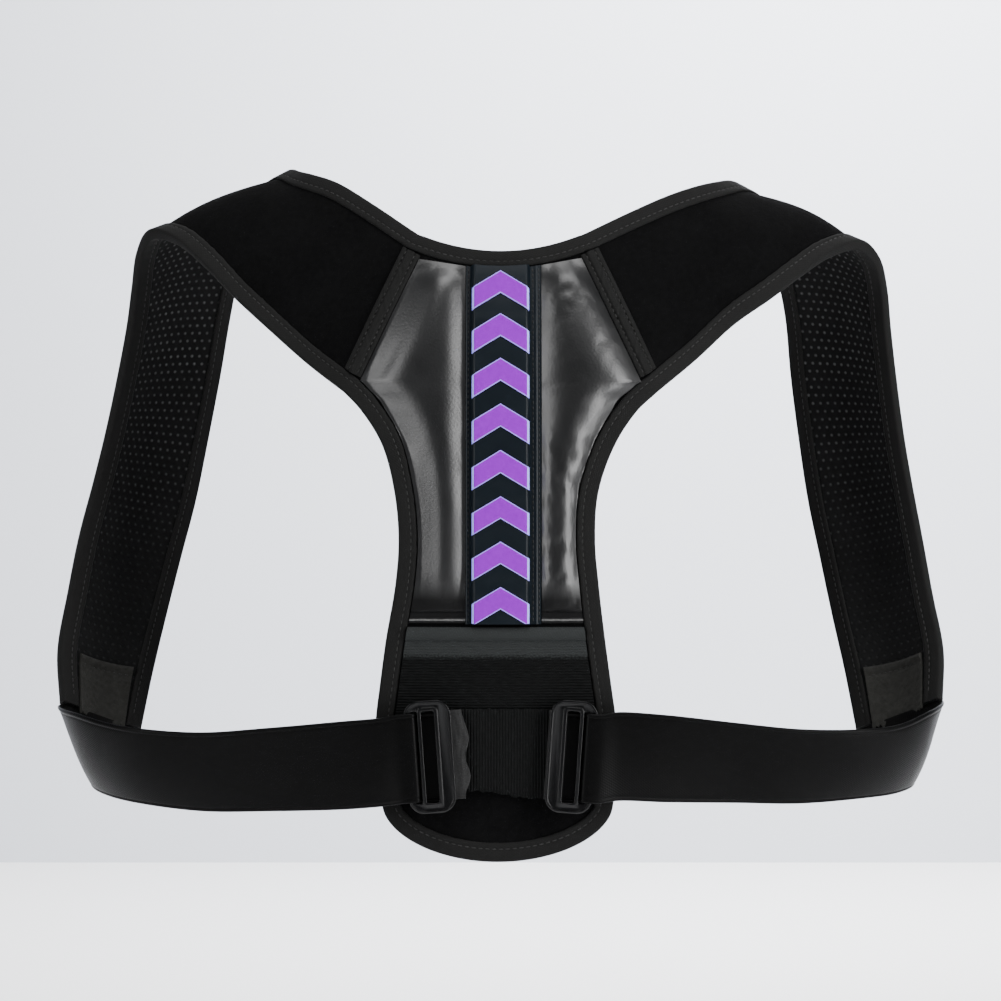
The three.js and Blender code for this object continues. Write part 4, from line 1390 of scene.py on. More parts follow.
@dataclass
class BackPanel:
    """Foam board, leather lobes, spine strip, chevrons and the ribbed elastic below them."""

    sheet: PanelSheet
    wardrobe: Wardrobe
    # The lobes: their height at the seams, what the stuffing adds and how its face is evened out.
    lobe_edge: float = 1.0
    lobe_puff: float = 4.2
    lobe_bottom: float = 86
    neck_rise: float = 3.4
    dome: float = 0.9
    slack: float = 0.16
    softening: int = 36
    hem_bottom: float = 91.1
    hem_roll: float = 89.6
    # The strip, its welt and the rows of thread beside that.
    strip_half: float = 15.4
    strip_flange: float = 2.6
    strip_bottom: float = 91.5
    strip_edge: float = 1.2
    strip_raise: float = 4.3
    strip_rim: float = 0.35
    welt_half: float = 13.4
    shoulder: float = 2.3
    quilt: float = 0.12
    stitch_rows: tuple = (-14.3, 14.4, 17.1)
    # The chevrons.
    chevrons: int = 8
    chevron_half: float = 12.7
    chevron_drop: float = 7.7
    chevron_tall: float = 10
    chevron_pitch: float = 20.3
    lowest_tip: float = 74.7
    print_thick: float = 0.5
    # The ribbed elastic with its rolled top, and the flap's creases.
    ribbed_top: float = 92.8
    ribbed_bottom: float = 161
    rib_pitch: float = 1.25
    rib: float = 0.16
    roll: float = 1.5
    roll_wide: float = 3.1
    crease: float = 0.45
    # How finely the pieces are made; the pairs are rows up and points across.
    board_steps: int = 72
    seam_steps: int = 24
    edge_steps: int = 60
    hem_rows: int = 25
    ribbed_across: int = 49
    strip_grid: tuple = (150, 111)
    chevron_grid: tuple = (13, 41)
    lobe_size: tuple = (150, 73)
    # Widths of each lobe's slopes beside the strip and along its outer edge.
    slopes: dict = field(default_factory=lambda: {
        Side.LEFT: (8.2, 7.8, 15), Side.RIGHT: (8.5, 5.8, 8.4)})
    # Dents of the leather: out, up, half widths, turn in degrees, depth.
    dents: dict = field(default_factory=lambda: {
        Side.LEFT: [(44, -8, 3.0, 12, -24, 0.7), (30, -76, 5, 2.2, 12, 0.6), (52, 22, 2.4, 14, 30, 0.5)],
        Side.RIGHT: [(36, -28.6, 7, 2.0, 8, 1.9), (33, -17, 5, 2.4, -14, 1.0), (41, -8, 3, 7, 20, 0.9),
                     (25.6, -48, 2.2, 30, 0, 1.0)],
    })

    def build(self) -> None:
        """Makes and dresses every piece of the panel."""
        self.board()
        self.strip()
        self.chevron_prints()
        self.elastic()
        for side in Side:
            self.lobe(side)

    @property
    def base(self) -> float:
        """Lift of what lies on the board."""
        return self.sheet.layers.board + self.sheet.layers.gap

    def board(self) -> None:
        """The foam board, cloth covered, with the rounded flap."""
        sheet, steps = self.sheet, self.board_steps
        sides = [np.vstack([sheet.board_side(side, steps), sheet.board_seam(side, self.seam_steps)[1:]])
                 for side in Side]
        grid = fill_between(sheet.board_flap(self.edge_steps), sheet.board_neck(self.edge_steps), *sides)
        x, z = grid[..., 0], grid[..., 1]
        faces = [sheet.on(x, z, lift) for lift in (0, sheet.layers.board + self.flap_creases(x, z))]
        piece = MeshMaker.slab("foam_board", *faces)
        self.wardrobe.dress(piece, "velour", "back_pad")

    def flap_creases(self, x: Array, z: Array) -> Array:
        """Shallow curved creases in the flap's cloth.

        Args:
            x: Distance from the midline.
            z: Height.

        Returns:
            What they add to the board's face.
        """
        round_down = np.hypot(x * 0.75, z + self.sheet.flap_start - 12)
        free = ease(-z, 171.5, 176)
        return self.crease * free * ripple(round_down / 9 + 0.25 * ripple(x / 30, 3.0), 1.7, 3)

    def strip_lift(self, x: Array, z: Array | float = 0.0) -> Array:
        """Height of the strip's top off the board's clearance: flat margins and a padded welt.

        Args:
            x: Distance from the midline.
            z: Height.

        Returns:
            The height at each point.
        """
        inward = np.clip((self.welt_half - np.abs(x)) / self.shoulder, 0, 1)
        welt = (self.strip_raise - self.strip_edge) * np.sin(inward * np.pi / 2) ** 0.8
        quilt = self.quilt * ease(inward, 0.4, 1) * ripple(z / 16, 2.3)
        rims = bump_at(x + self.strip_half - 0.6, 0.5) + bump_at(x - self.strip_half - 0.4, 0.5)
        return self.strip_edge + welt + quilt + self.strip_rim * rims

    def strip(self) -> None:
        """The raised strip down the middle, with the stitch rows beside its welt."""
        sheet = self.sheet
        rows, columns = self.strip_grid
        across = np.linspace(-self.strip_half, self.strip_half + self.strip_flange, columns)
        up = np.linspace(0, 1, rows)[:, None]
        top = sheet.neck_up(across, sheet.layers.inset + sheet.layers.clear)[None]
        z = -self.strip_bottom * (1 - up) + top * up
        x = np.broadcast_to(across, z.shape)
        low = sheet.on(x, z, self.base)
        high = sheet.on(x, z, self.base + self.strip_lift(x, z))
        piece = MeshMaker.slab("spine_band", low, high)
        self.wardrobe.dress(piece, "strip", "spine_strip", slot="faux_leather")
        thread = Stitches(length=1.7, pause=0.8, thick=0.5)
        for place in self.stitch_rows:
            line = np.full(rows, place), z[:, nearest(across, place)]
            lift = self.base + self.strip_lift(line[0], line[1])
            thread.row(sheet.on(*line, lift), sheet.normal(*line))
        self.wardrobe.dress(thread.piece("strip_stitches"), "thread", slot="faux_leather")

    def chevron_prints(self) -> None:
        """The chevrons, lowest first, equally spaced along the bent sheet."""
        sheet = self.sheet
        tip = -self.lowest_tip
        floor = -self.strip_bottom + sheet.layers.gap
        rows, columns = self.chevron_grid
        share = np.linspace(-1, 1, columns)
        rise = np.linspace(0, 1, rows)[:, None]
        for i in range(self.chevrons):
            x = np.broadcast_to(share * self.chevron_half, self.chevron_grid)
            z = tip - self.chevron_tall * (1 - rise) - self.chevron_drop * np.abs(share)[None]
            up = np.broadcast_to(rise, z.shape)
            held = np.maximum(z, floor)
            up = np.where(z < floor, (held - z) / self.chevron_tall + up, up)
            lift = self.base + self.strip_lift(x, held) + 0.05
            low, high = (sheet.on(x, held, lift + extra) for extra in (0, self.print_thick))
            piece = MeshMaker.slab(f"print_{i + 1}", low, high,
                                   (np.broadcast_to(share, z.shape), up))
            self.wardrobe.dress(piece, "chevron_print", f"chevron_{i + 1}")
            normal = sheet.normal(np.array([0.0]), np.array([tip + self.chevron_pitch / 2]))[0]
            tip += self.chevron_pitch * math.hypot(normal[0], normal[1])

    def lobe_grid(self, side: Side) -> tuple[Array, Array, Array, Array]:
        """Flat points of a lobe from the strip outward, in rows upward.

        Args:
            side: Which lobe.

        Returns:
            Arrays of x and z, and of the distances in from the strip and from the outer edge.
        """
        sheet, layers = self.sheet, self.sheet.layers
        rows, columns = self.lobe_size
        clear = layers.inset + layers.clear
        inner = self.strip_half + layers.gap + (self.strip_flange if side is Side.RIGHT else 0)
        inner_top = float(sheet.neck_up(inner, clear))
        outer_top = inner_top + self.neck_rise
        low, turn = self.hem_bottom, self.lobe_bottom - 1
        heights = np.concatenate([np.linspace(-low, -turn, self.hem_rows)[:-1],
                                  np.linspace(-turn, inner_top, rows)])
        v = (heights + low) / (inner_top + low)
        inner_z = -low + (inner_top + low) * v
        outer_z = -low + (outer_top + low) * v
        arm = np.where(outer_z < sheet.seam_low[1] + sheet.run_on / 2,
                       sheet.side_inset(side, outer_z, clear), np.inf)
        outer = np.minimum(arm, sheet.seam_out(outer_z, layers.seam_tape / 2 + layers.gap))
        u = np.linspace(0, 1, columns)[None]
        out = inner * (1 - u) + outer[:, None] * u
        return (side.value * out, inner_z[:, None] * (1 - u) + outer_z[:, None] * u,
                out - inner, outer[:, None] - out)

    def lobe_rise(self, side: Side, x: Array, z: Array, inward: Array, outward: Array) -> Array:
        """Height of a lobe's stuffed face over the board's clearance.

        Args:
            side: Which lobe.
            x: Distance from the midline at each point.
            z: Height of each point.
            inward: Distance from the strip.
            outward: Distance from the outer edge.

        Returns:
            The height at each point.
        """
        above = z + self.lobe_bottom
        below_top = z.max(axis=0, keepdims=True) - z
        inner_slope, inner_low, outer_slope = self.slopes[side]
        inner_slope = inner_slope + (inner_low - inner_slope) * ease(-z, 0, 40)
        stuffed = (pad_rise(inward / inner_slope) * pad_rise(outward / outer_slope)
                   * (0.35 + 0.65 * pad_rise(above / 15)) * pad_rise(above / 1.2)
                   * pad_rise(below_top / 8))
        wide = np.minimum(inward, outward)
        full = self.lobe_puff + self.dome * ease(wide, 3, 20)
        seed = 1.3 if side is Side.LEFT else 4.1
        puckers = (0.07 * bump_at(inward - 1.4, 2.4) * ripple(z / 11, seed)
                   + 0.16 * bump_at(outward - 1.6, 3.0) * ripple(z / 9, seed + 1)
                   + 0.18 * bump_at(above - 3.5, 5) * ripple(x / 7, seed + 2))
        slack = self.slack * stuffed * ripple(z / 34 + 0.3 * ripple(x / 21, seed), seed + 3, 3)
        rise = self.lobe_edge + full * stuffed + (puckers + slack) * ease(wide, 0, 1.2)
        for out, up, wide_x, wide_z, turn, deep in self.dents[side]:
            aside, along = np.abs(x) - out, z - up
            lean = math.radians(turn)
            near = ((aside * math.cos(lean) + along * math.sin(lean)) / wide_x,
                    (along * math.cos(lean) - aside * math.sin(lean)) / wide_z)
            rise = rise - deep * np.exp(-near[0] ** 2 - near[1] ** 2)
        soften(rise, 0.5, self.softening)
        hem = 0.6 + 0.75 * bump_at(z + self.hem_roll + 0.12 * ripple(x / 7, seed), 0.55)
        return np.where(above > 0, np.maximum(rise, 0.5), hem)

    def lobe(self, side: Side) -> None:
        """A padded leather lobe with its hem, stuffed by a short cloth simulation.

        Args:
            side: Which lobe.
        """
        x, z, inward, outward = self.lobe_grid(side)
        low = self.sheet.on(x, z, self.base)
        high = self.sheet.on(x, z, self.base + self.lobe_rise(side, x, z, inward, outward))
        held = (np.minimum(inward, outward) < 0.4) | (z < -self.lobe_bottom + 1.5)
        held[-2:] = True
        high = CoverSim().settle(high, held)
        piece = MeshMaker.slab(f"leather_lobe_{side.word}", low, high)
        self.wardrobe.dress(piece, "faux_leather", f"leather_pad_{side.word}")

    def elastic(self) -> None:
        """The ribbed elastic panel, with a rib every rib_pitch."""
        sheet, layers = self.sheet, self.sheet.layers
        count = round((self.ribbed_bottom - self.ribbed_top) / self.rib_pitch) * RIB_ROWS
        z = np.linspace(-self.ribbed_bottom, -self.ribbed_top, count + 1)
        clear = layers.inset + layers.clear
        left, right = (side.value * sheet.side_inset(side, z, clear) for side in Side)
        u = np.linspace(0, 1, self.ribbed_across)[None]
        x = left[:, None] * (1 - u) + right[:, None] * u
        height = np.broadcast_to(z[:, None], x.shape)
        from_top = -self.ribbed_top - height
        ribs = self.rib * np.cos(2 * np.pi * height / self.rib_pitch) * ease(from_top, 4, 8)
        ribs = ribs * (1 + 0.4 * ripple(x / 11 + height / 7, 2.0))
        roll = self.roll * np.sqrt(np.clip(1 - (from_top / self.roll_wide - 1) ** 2, 0, 1))
        low = sheet.on(x, height, self.base)
        high = sheet.on(x, height, layers.ribbed_face - self.rib + ribs + roll)
        piece = MeshMaker.slab("lumbar_ribs", low, high)
        self.wardrobe.dress(piece, "ribbed_elastic", "lumbar_elastic")


@dataclass
class ShoulderStrap:
    """Velour strap with its mesh lining, felt patch and seam tape."""

    shape: StrapShape
    wardrobe: Wardrobe
    tape_thick: float = 1.2
    tape_rows: tuple = (-0.42, 0.5)
    patch: float = 1.2
    patch_rows: int = 1
    patch_overlap: float = 2.6
    patch_grid: tuple = (50, 61)
    patch_sewn: float = 4.6
    across: int = 31
    tape_grid: tuple = (37, 130)
    tape_fold: float = 0.45
    tape_groove: float = 0.4

    @property
    def side(self) -> Side:
        """Which side the strap is on."""
        return self.shape.side

    def build(self) -> None:
        """Makes and dresses the strap's pieces."""
        word = self.side.word
        across = np.linspace(0, 1, self.across)
        outer = MeshMaker.slab(f"velour_strap_{word}",
                               self.shape.surface(across, Layer.FOAM_BOTTOM.value),
                               self.shape.surface(across, Layer.OUTER.value))
        self.wardrobe.dress(outer, "velour", f"shoulder_strap_{word}")
        face = self.shape.surface(across, Layer.BODY_SIDE.value)
        lining = MeshMaker.slab(f"mesh_lining_{word}", face,
                                self.shape.surface(across, Layer.LINING_TOP.value),
                                grid_lengths(face))
        self.wardrobe.dress(lining, "spacer_mesh", f"strap_lining_{word}")
        self.felt_patch()
        self.seam_tape()

    def felt_patch(self) -> None:
        """The felted patch on the strap's lower end, with its folded top and ragged lower edge."""
        layers, word = self.shape.sheet.layers, self.side.word
        width = np.linalg.norm(self.shape.band.neck - self.shape.band.arm, axis=1)[-1]
        edge = layers.clear / width
        across = np.linspace(edge, 1 - edge, self.patch_grid[1])
        rows = slice(-self.shape.steps * self.patch_rows - 1, None)
        face = self.shape.surface(across, Layer.BODY_SIDE.value - layers.gap)[rows]
        drop = unit(face[-1] - face[-2])
        ragged = self.patch_overlap * (1 + 0.45 * ripple(across * 9, 2.0 + self.side.value, 6))
        face = np.concatenate([face, (face[-1] + drop * ragged[:, None])[None]])
        run = grid_lengths(face)[0][:, 0]
        place = np.linspace(0, 1, self.patch_grid[0])[:, None] * run[-1]
        fine = np.stack([np.stack([np.interp(place[:, 0], run, face[:, k, c]) for c in range(3)], -1)
                         for k in range(len(across))], 1)
        away = unit(np.cross(np.gradient(fine, axis=0), np.gradient(fine, axis=1)))
        away *= np.sign(np.sum(away[0, 0] * -self.shape.band.normal[rows][0]))
        fold = 1.1 * bump_at(place - 1.9, 1.5) - 0.35 * bump_at(place - self.patch_sewn, 0.6)
        mottle = 0.3 * ripple(place / 4 + across[None] * 5, 3.1, 6) * ripple(across[None] * 9, 5.0, 5)
        thick = self.patch + (fold + mottle) * ease(place, 0, 0.8)
        piece = MeshMaker.slab(f"felt_patch_{word}", fine + away * thick[..., None], fine)
        self.wardrobe.dress(piece, "hook_patch", f"end_patch_{word}")
        thread = Stitches(length=2.0, pause=0.9, thick=0.5)
        row = nearest(place[:, 0], self.patch_sewn)
        thread.row((fine + away * thick[..., None])[row, 2:-2], away[row, 2:-2])
        self.wardrobe.dress(thread.piece(f"patch_stitches_{word}"), "thread", slot="binding")

    def seam_tape(self) -> None:
        """The folded tape over the seam of strap and panel, sewn down in two rows."""
        layers, sheet = self.shape.sheet.layers, self.shape.sheet
        low_end, top_end = sheet.seam_corners(self.side)
        run = top_end - low_end
        inward = unit(np.array([-run[1], run[0]]) * self.side.value)
        edge = layers.clear / np.linalg.norm(run)
        shares = np.linspace(edge, 1 - edge, self.tape_grid[1])
        half = layers.seam_tape / 2
        places = np.linspace(-1, 1, self.tape_grid[0])
        along = shares * np.linalg.norm(run)
        rows = [self.shape.surface(shares, layers.board / 2 + lift) for lift in (0.0, 1.0)]

        def layer(lift: Array) -> Array:
            """Points of one face of the tape.

            Args:
                lift: Height off the board and the strap, by place across and along.

            Returns:
                Points in a row for each place across.
            """
            lines = []
            for place, high in zip(places, lift):
                if place < 0:
                    near, far = (low + (up - low) * high[:, None] for low, up in
                                 ((rows[0][k], rows[1][k]) for k in (0, self.shape.steps // 2)))
                    away = np.linalg.norm(far - near, axis=1)[:, None]
                    lines.append(near + (far - near) * (-place * half) / away)
                else:
                    flat = low_end + run * shares[:, None] + inward * place * half
                    lines.append(sheet.on(flat[:, 0], flat[:, 1], layers.board + high))
            return np.stack(lines)

        across = places[:, None]
        plump = np.sqrt(np.clip(1 - np.abs(across) ** 6, 0, 1))
        rows_at = sum(bump_at(across - row, 0.09) for row in self.tape_rows)
        low_row, top_row = self.tape_rows
        fold = self.tape_fold * (ease(across, low_row, low_row + 0.25)
                                 * ease(-across, -top_row, -top_row + 0.25))
        pull = 0.18 * np.cos(2 * np.pi * along / 2.9)[None] * rows_at
        uneven = 0.14 * ripple(along[None] / 7 + across, 6.0 + self.side.value)
        thick = (self.tape_thick * (0.45 + 0.55 * plump) - self.tape_groove * rows_at + fold + pull
                 + uneven * plump)
        floor = np.full_like(thick, layers.gap)
        high = layer(layers.gap + np.maximum(thick, 0.35))
        piece = MeshMaker.slab(f"yoke_tape_{self.side.word}", layer(floor), high)
        self.wardrobe.dress(piece, "binding", f"seam_tape_{self.side.word}")
        thread = Stitches(length=2.0, pause=0.9, thick=0.55)
        face = sheet.normal(*((low_end + top_end) / 2)[:, None])[0]
        for row in self.tape_rows:
            line = high[nearest(places, row)]
            thread.row(line[1:-1], np.broadcast_to(face, line[1:-1].shape))
        rows = thread.piece(f"yoke_stitches_{self.side.word}")
        self.wardrobe.dress(rows, "thread", slot="binding")


@dataclass
class Binding:
    """Folded tape over the edges of the panel and the straps."""

    sheet: PanelSheet
    straps: dict[Side, StrapShape]
    wardrobe: Wardrobe
    split_down: float = 150.5
    side_steps: int = 96
    spacing: float = 1.5
    sewn_at: float = 2.8
    groove: float = 0.26
    waver: float = 0.22
    turn_steps: int = 9
    # Places across the lap, from its inner edge at 0 to the turn at 1.
    lap: tuple = (0, 0.04, 0.1, 0.18, 0.24, 0.3, 0.36, 0.44, 0.56, 0.7, 0.85)
    thread: Stitches = field(default_factory=Stitches)

    def build(self) -> None:
        """Makes the neck, arm and flap bindings."""
        sheet = self.sheet
        neck = self.board_stops(sheet.board_neck(48), np.array([0.0, 0, 1]))
        left = [part[::-1] for part in self.straps[Side.LEFT].stops("neck")]
        right = self.straps[Side.RIGHT].stops("neck")
        self.tape("neck_tape", [np.vstack([a, b[1:-1], c]) for a, b, c in zip(left, neck, right)],
                  "binding_neck")
        lowers = []
        for side in Side:
            stops = self.board_stops(sheet.board_side(side, self.side_steps),
                                     np.array([float(side.value), 0, 0]))
            split = int(np.argmax(stops[0][:, 2] > -self.split_down))
            arm = self.straps[side].stops("arm")
            self.tape(f"arm_tape_{side.word}",
                      [np.vstack([a[split:-1], b]) for a, b in zip(stops, arm)],
                      f"binding_arm_{side.word}")
            lowers.append([part[:split - 1] for part in stops])
        arc = self.board_stops(sheet.board_flap(48), np.array([0.0, 0, -1]))
        self.tape("flap_tape", [np.vstack([a[::-1], b[1:-1], c])
                                for a, b, c in zip(lowers[0], arc, lowers[1])], "binding_flap")
        self.wardrobe.dress(self.thread.piece("binding_stitches"), "thread", slot="binding")

    def board_stops(self, flat: Array, hint: Array) -> list[Array]:
        """Stops along an edge of the board.

        Args:
            flat: The edge as flat points.
            hint: A direction that points roughly out of the board there.

        Returns:
            The edge's points, directions out of the board and normals.
        """
        x, z = flat[:, 0], flat[:, 1]
        point = self.sheet.on(x, z, self.sheet.layers.board / 2)
        normal = self.sheet.normal(x, z)
        out = unit(np.cross(directions(point), normal))
        out *= np.sign(out @ hint)[:, None]
        return [point, out, normal]

    def tape(self, name: str, stops: list[Array], node: str) -> None:
        """A folded tape along stops, sewn near its inner edge on both sides.

        Args:
            name: The piece's name.
            stops: Edge points, directions out of the board, and normals.
            node: The solid that it replaces.
        """
        layers = self.sheet.layers
        slot = layers.board / 2 + layers.gap
        face = slot + layers.tape
        run, point, out, normal = resample(stops[0], self.spacing, *stops[1:])
        out, normal = unit(out), unit(normal)
        turn = np.linspace(np.pi / 2, -np.pi / 2, self.turn_steps)
        flat = layers.cover * (np.array(self.lap) - 1)
        from_edge = flat + layers.cover
        lip = np.clip(from_edge / 0.8, 0, 1) ** 0.5
        groove = bump_at(from_edge - self.sewn_at, 0.45)
        wave = np.stack([ripple(run / 8, len(name)), ripple(run / 8, len(name) + 3)], -1)
        pull = 1 + 0.5 * np.cos(2 * np.pi * run / 3.1)
        uneven = 0.1 * ripple(run / 5, len(name) + 1)[:, None] * ease(from_edge, 0.5, 2)[None]
        depth = (slot + layers.tape * (0.3 + 0.7 * lip)[None]
                 - self.groove * groove[None] * pull[:, None] + uneven)
        edge = self.waver * (1 - ease(from_edge, 0, 2))
        sides = [np.stack([flat - edge * wave[:, k:k + 1], sign * depth], -1)
                 for k, sign in ((0, 1), (1, -1))]
        rim = np.stack([layers.inset * np.cos(turn), face * np.sin(turn)], -1)
        outer = np.concatenate([sides[0], np.broadcast_to(rim, (len(run), *rim.shape)),
                                sides[1][:, ::-1]], axis=1)
        inner = np.vstack([
            np.stack([flat, np.full_like(flat, slot)], -1),
            np.stack([layers.gap * np.cos(turn), slot * np.sin(turn)], -1),
            np.stack([flat, np.full_like(flat, -slot)], -1)[::-1]])
        inner = np.broadcast_to(inner, outer.shape)
        low, high = (point[:, None] + out[:, None] * path[..., :1] + normal[:, None] * path[..., 1:]
                     for path in (inner, outer))
        piece = MeshMaker.slab(name, low, high, sharp=70)
        self.wardrobe.dress(piece, "binding", node)
        row = nearest(from_edge, self.sewn_at)
        for place, sign in ((row, 1), (-1 - row, -1)):
            self.thread.row(high[3:-3, place], normal[3:-3] * sign)


@dataclass
class BuckleShape:
    """Sizes and place of a slide buckle."""

    width: float = 21
    ear: float = 4.6
    corner: float = 6.8
    play: float = 0.6
    outer_bar: float = 3.2
    thread_slot: float = 2.6
    ridge_bar: float = 2.0
    open_slot: float = 5.9
    out: float = 31.6
    down: float = 150.5
    lean: float = 4
    rim: float = 1.2
    pocket: float = 0.6
    lip: float = 1.0
    lip_wide: float = 1.6
    lip_corner: float = 2.2
    thread_corner: float = 0.8
    open_corner: float = 1.2
    edge_round: float = 0.5
    layers: Stack = Stack()

    @property
    def slot_height(self) -> float:
        """Height of the slots."""
        return self.layers.webbing_width + 2 * self.play

    @property
    def height(self) -> float:
        """Height of the whole plate."""
        return self.slot_height + 2 * self.ear

    @property
    def thread_middle(self) -> float:
        """Middle of the threading slot, out from the buckle's centre."""
        return self.width / 2 - self.outer_bar - self.thread_slot / 2

    @property
    def open_middle(self) -> float:
        """Middle of the open slot, out from the buckle's centre."""
        return self.thread_middle - self.thread_slot / 2 - self.ridge_bar - self.open_slot / 2

    def axes(self, side: Side) -> tuple[Array, Array, Array]:
        """The buckle's place.

        Args:
            side: Which buckle.

        Returns:
            Its middle, its outward direction and its upward one.
        """
        lean = math.radians(self.lean)
        middle = np.array([side.value * self.out, -self.layers.buckle_middle, -self.down])
        outward = np.array([side.value * math.cos(lean), 0, -math.sin(lean)])
        upward = np.array([side.value * math.sin(lean), 0, math.cos(lean)])
        return middle, outward, upward


@dataclass
class SideWebbing:
    """Elastic webbing from the strap's end, round the flank and through the buckle."""

    side: Side
    strap: StrapShape
    buckle: BuckleShape
    wardrobe: Wardrobe
    crown: float = 3
    turn: float = 1.1
    tail: dict = field(default_factory=lambda: {Side.LEFT: 17, Side.RIGHT: 11})
    table_steps: int = 10
    path_steps: int = 3
    flank_rows: int = 7
    # Where points lie across it, from either edge; they are closest at the selvage.
    from_edge: tuple = (0, 0.25, 0.5, 0.8, 1.1, 1.4, 1.7, 2.0, 2.4, 3, 4, 5.5, 7.5, 10, 13, 16.5)
    selvage: float = 0.14
    selvage_groove: float = 0.2

    def edges(self) -> tuple[Array, Array, int]:
        """The edges of the whole run.

        Returns:
            The points of the arm edge and of the neck edge, and how many come from the table.
        """
        band, layers = self.strap.band, self.strap.sheet.layers
        first = [line[-1] + unit(line[-1] - line[-2]) * layers.gap for line in (band.arm, band.neck)]
        arm, neck = section_edges(self.side, WEBBING_ROWS[self.side], layers.webbing_width)
        middle, outward, up = self.buckle.axes(self.side)
        run = layers.buckle / 2 + layers.gap + layers.webbing / 2
        slot, turn = self.buckle.thread_middle, self.turn
        path = [(self.buckle.width / 2 + 2, -run)]
        path += [(slot + turn * (1 + math.cos(a)), -run + turn * (1 + math.sin(a)))
                 for a in np.radians([-90, -135, -180])]
        path += [(slot - turn * (1 - math.cos(a)), run - turn * (1 - math.sin(a)))
                 for a in np.radians([0, 45, 90])]
        path += [(-out, run) for out in (
            self.buckle.width / 4, self.buckle.width / 2, self.tail[self.side])]
        centres = np.array([middle + outward * away + [0, depth, 0] for away, depth in path])
        half = layers.webbing_width / 2
        return (np.vstack([first[0], arm, centres + up * half]),
                np.vstack([first[1], neck, centres - up * half]), len(arm) + 1)

    def build(self) -> None:
        """Makes and dresses the webbing."""
        arm, neck, table = self.edges()
        spans = len(arm) - 1
        places = [0.0]
        for i in range(spans):
            steps = self.table_steps if i < table else self.path_steps
            places += [(i + k / steps) / spans for k in range(1, steps + 1)]
        band = Band.through(self.side, arm, neck, np.array(places))
        layers = self.strap.sheet.layers
        width, fine = layers.webbing_width, np.array(self.from_edge)
        across = np.concatenate([fine, [width / 2], width - fine[::-1]]) / width
        flank = np.minimum(1, np.arange(len(places)) / (self.table_steps * self.flank_rows))
        crown = self.crown * np.sin(np.pi * flank)[:, None] * (4 * across * (1 - across))[None]
        edge = np.minimum(across, 1 - across) * width
        half = layers.webbing / 2 * np.clip(0.35 + edge / 0.7, 0, 1)
        half = (half + self.selvage * bump_at(edge - 1.0, 0.5)
                - self.selvage_groove * bump_at(edge - 2.0, 0.35))[None]
        low, high = band.grid(across, crown - half), band.grid(across, crown + half)
        if self.side is Side.LEFT:
            low, high = (self.ravel_tail(face, across) for face in (low, high))
        word = self.side.word
        along, wide = grid_lengths(high)
        piece = MeshMaker.slab(f"flank_webbing_{word}", low, high, (along - along[-1:], wide))
        self.wardrobe.dress(piece, "elastic_webbing", f"side_webbing_{word}")

    def ravel_tail(self, face: Array, across: Array) -> Array:
        """The loose end with its wavy cut edge and slight curl.

        Args:
            face: Points of one face, in a row for each section.
            across: Shares across the webbing, from the upper edge.

        Returns:
            The face with its last rows moved.
        """
        face = face.copy()
        wavy = (1.3 * ripple(across * 1.6, 2.6, 3) - 2.2 * bump_at(across - 1, 0.16)
                - 1.2 * bump_at(across, 0.12))
        rows = self.path_steps
        for k, share in enumerate(np.linspace(0, 1, rows + 1)):
            row = len(face) - 1 - rows + k
            face[row, :, 0] += wavy * share**2
            face[row, :, 1] -= (0.35 * ripple(across * 2.2, 4.0, 3) + 0.35) * share
        return face


@dataclass
class CentreBand:
    """The ribbed band that joins the two buckles."""

    buckle: BuckleShape
    wardrobe: Wardrobe
    rib_pitch: float = 1.3
    rib: float = 0.14
    rows: int = 31
    raised: float = 1

    def build(self) -> None:
        """Makes and dresses the band."""
        layers = self.buckle.layers
        reach = self.buckle.out - self.buckle.open_slot / 2 - layers.gap
        count = round(2 * reach / self.rib_pitch) * RIB_ROWS
        x = np.linspace(-reach, reach, count + 1)[None]
        half = layers.webbing_width / 2
        top = -self.buckle.down + self.raised + half - 0.35 * ripple(x / 6, 2.0, 6)
        bottom = (-self.buckle.down + self.raised - half + 3.2 * (1 - ease(x, -10, 14))
                  + 0.45 * ripple(x / 7, 5.0, 5))
        share = np.linspace(0, 1, self.rows)[:, None]
        z = bottom * (1 - share) + top * share
        x = np.broadcast_to(x, z.shape)
        ribs = self.rib * np.cos(2 * np.pi * x / self.rib_pitch)
        ribs = ribs * (1 + 0.35 * ripple(z / 9 + x / 13, 1.0))
        edge = 0.5 * (bump_at(z - top, 0.8) + bump_at(z - bottom, 0.8))
        face = layers.centre_face + 0.3 * ripple(x / 22, 4.4, 3) - edge
        low = np.stack([x, np.full_like(x, layers.webbing - layers.centre_face), z], -1)
        high = np.stack([x, self.rib - face - ribs, z], -1)
        piece = MeshMaker.slab("centre_band", low, high)
        self.wardrobe.dress(piece, "ribbed_elastic", "centre_webbing")


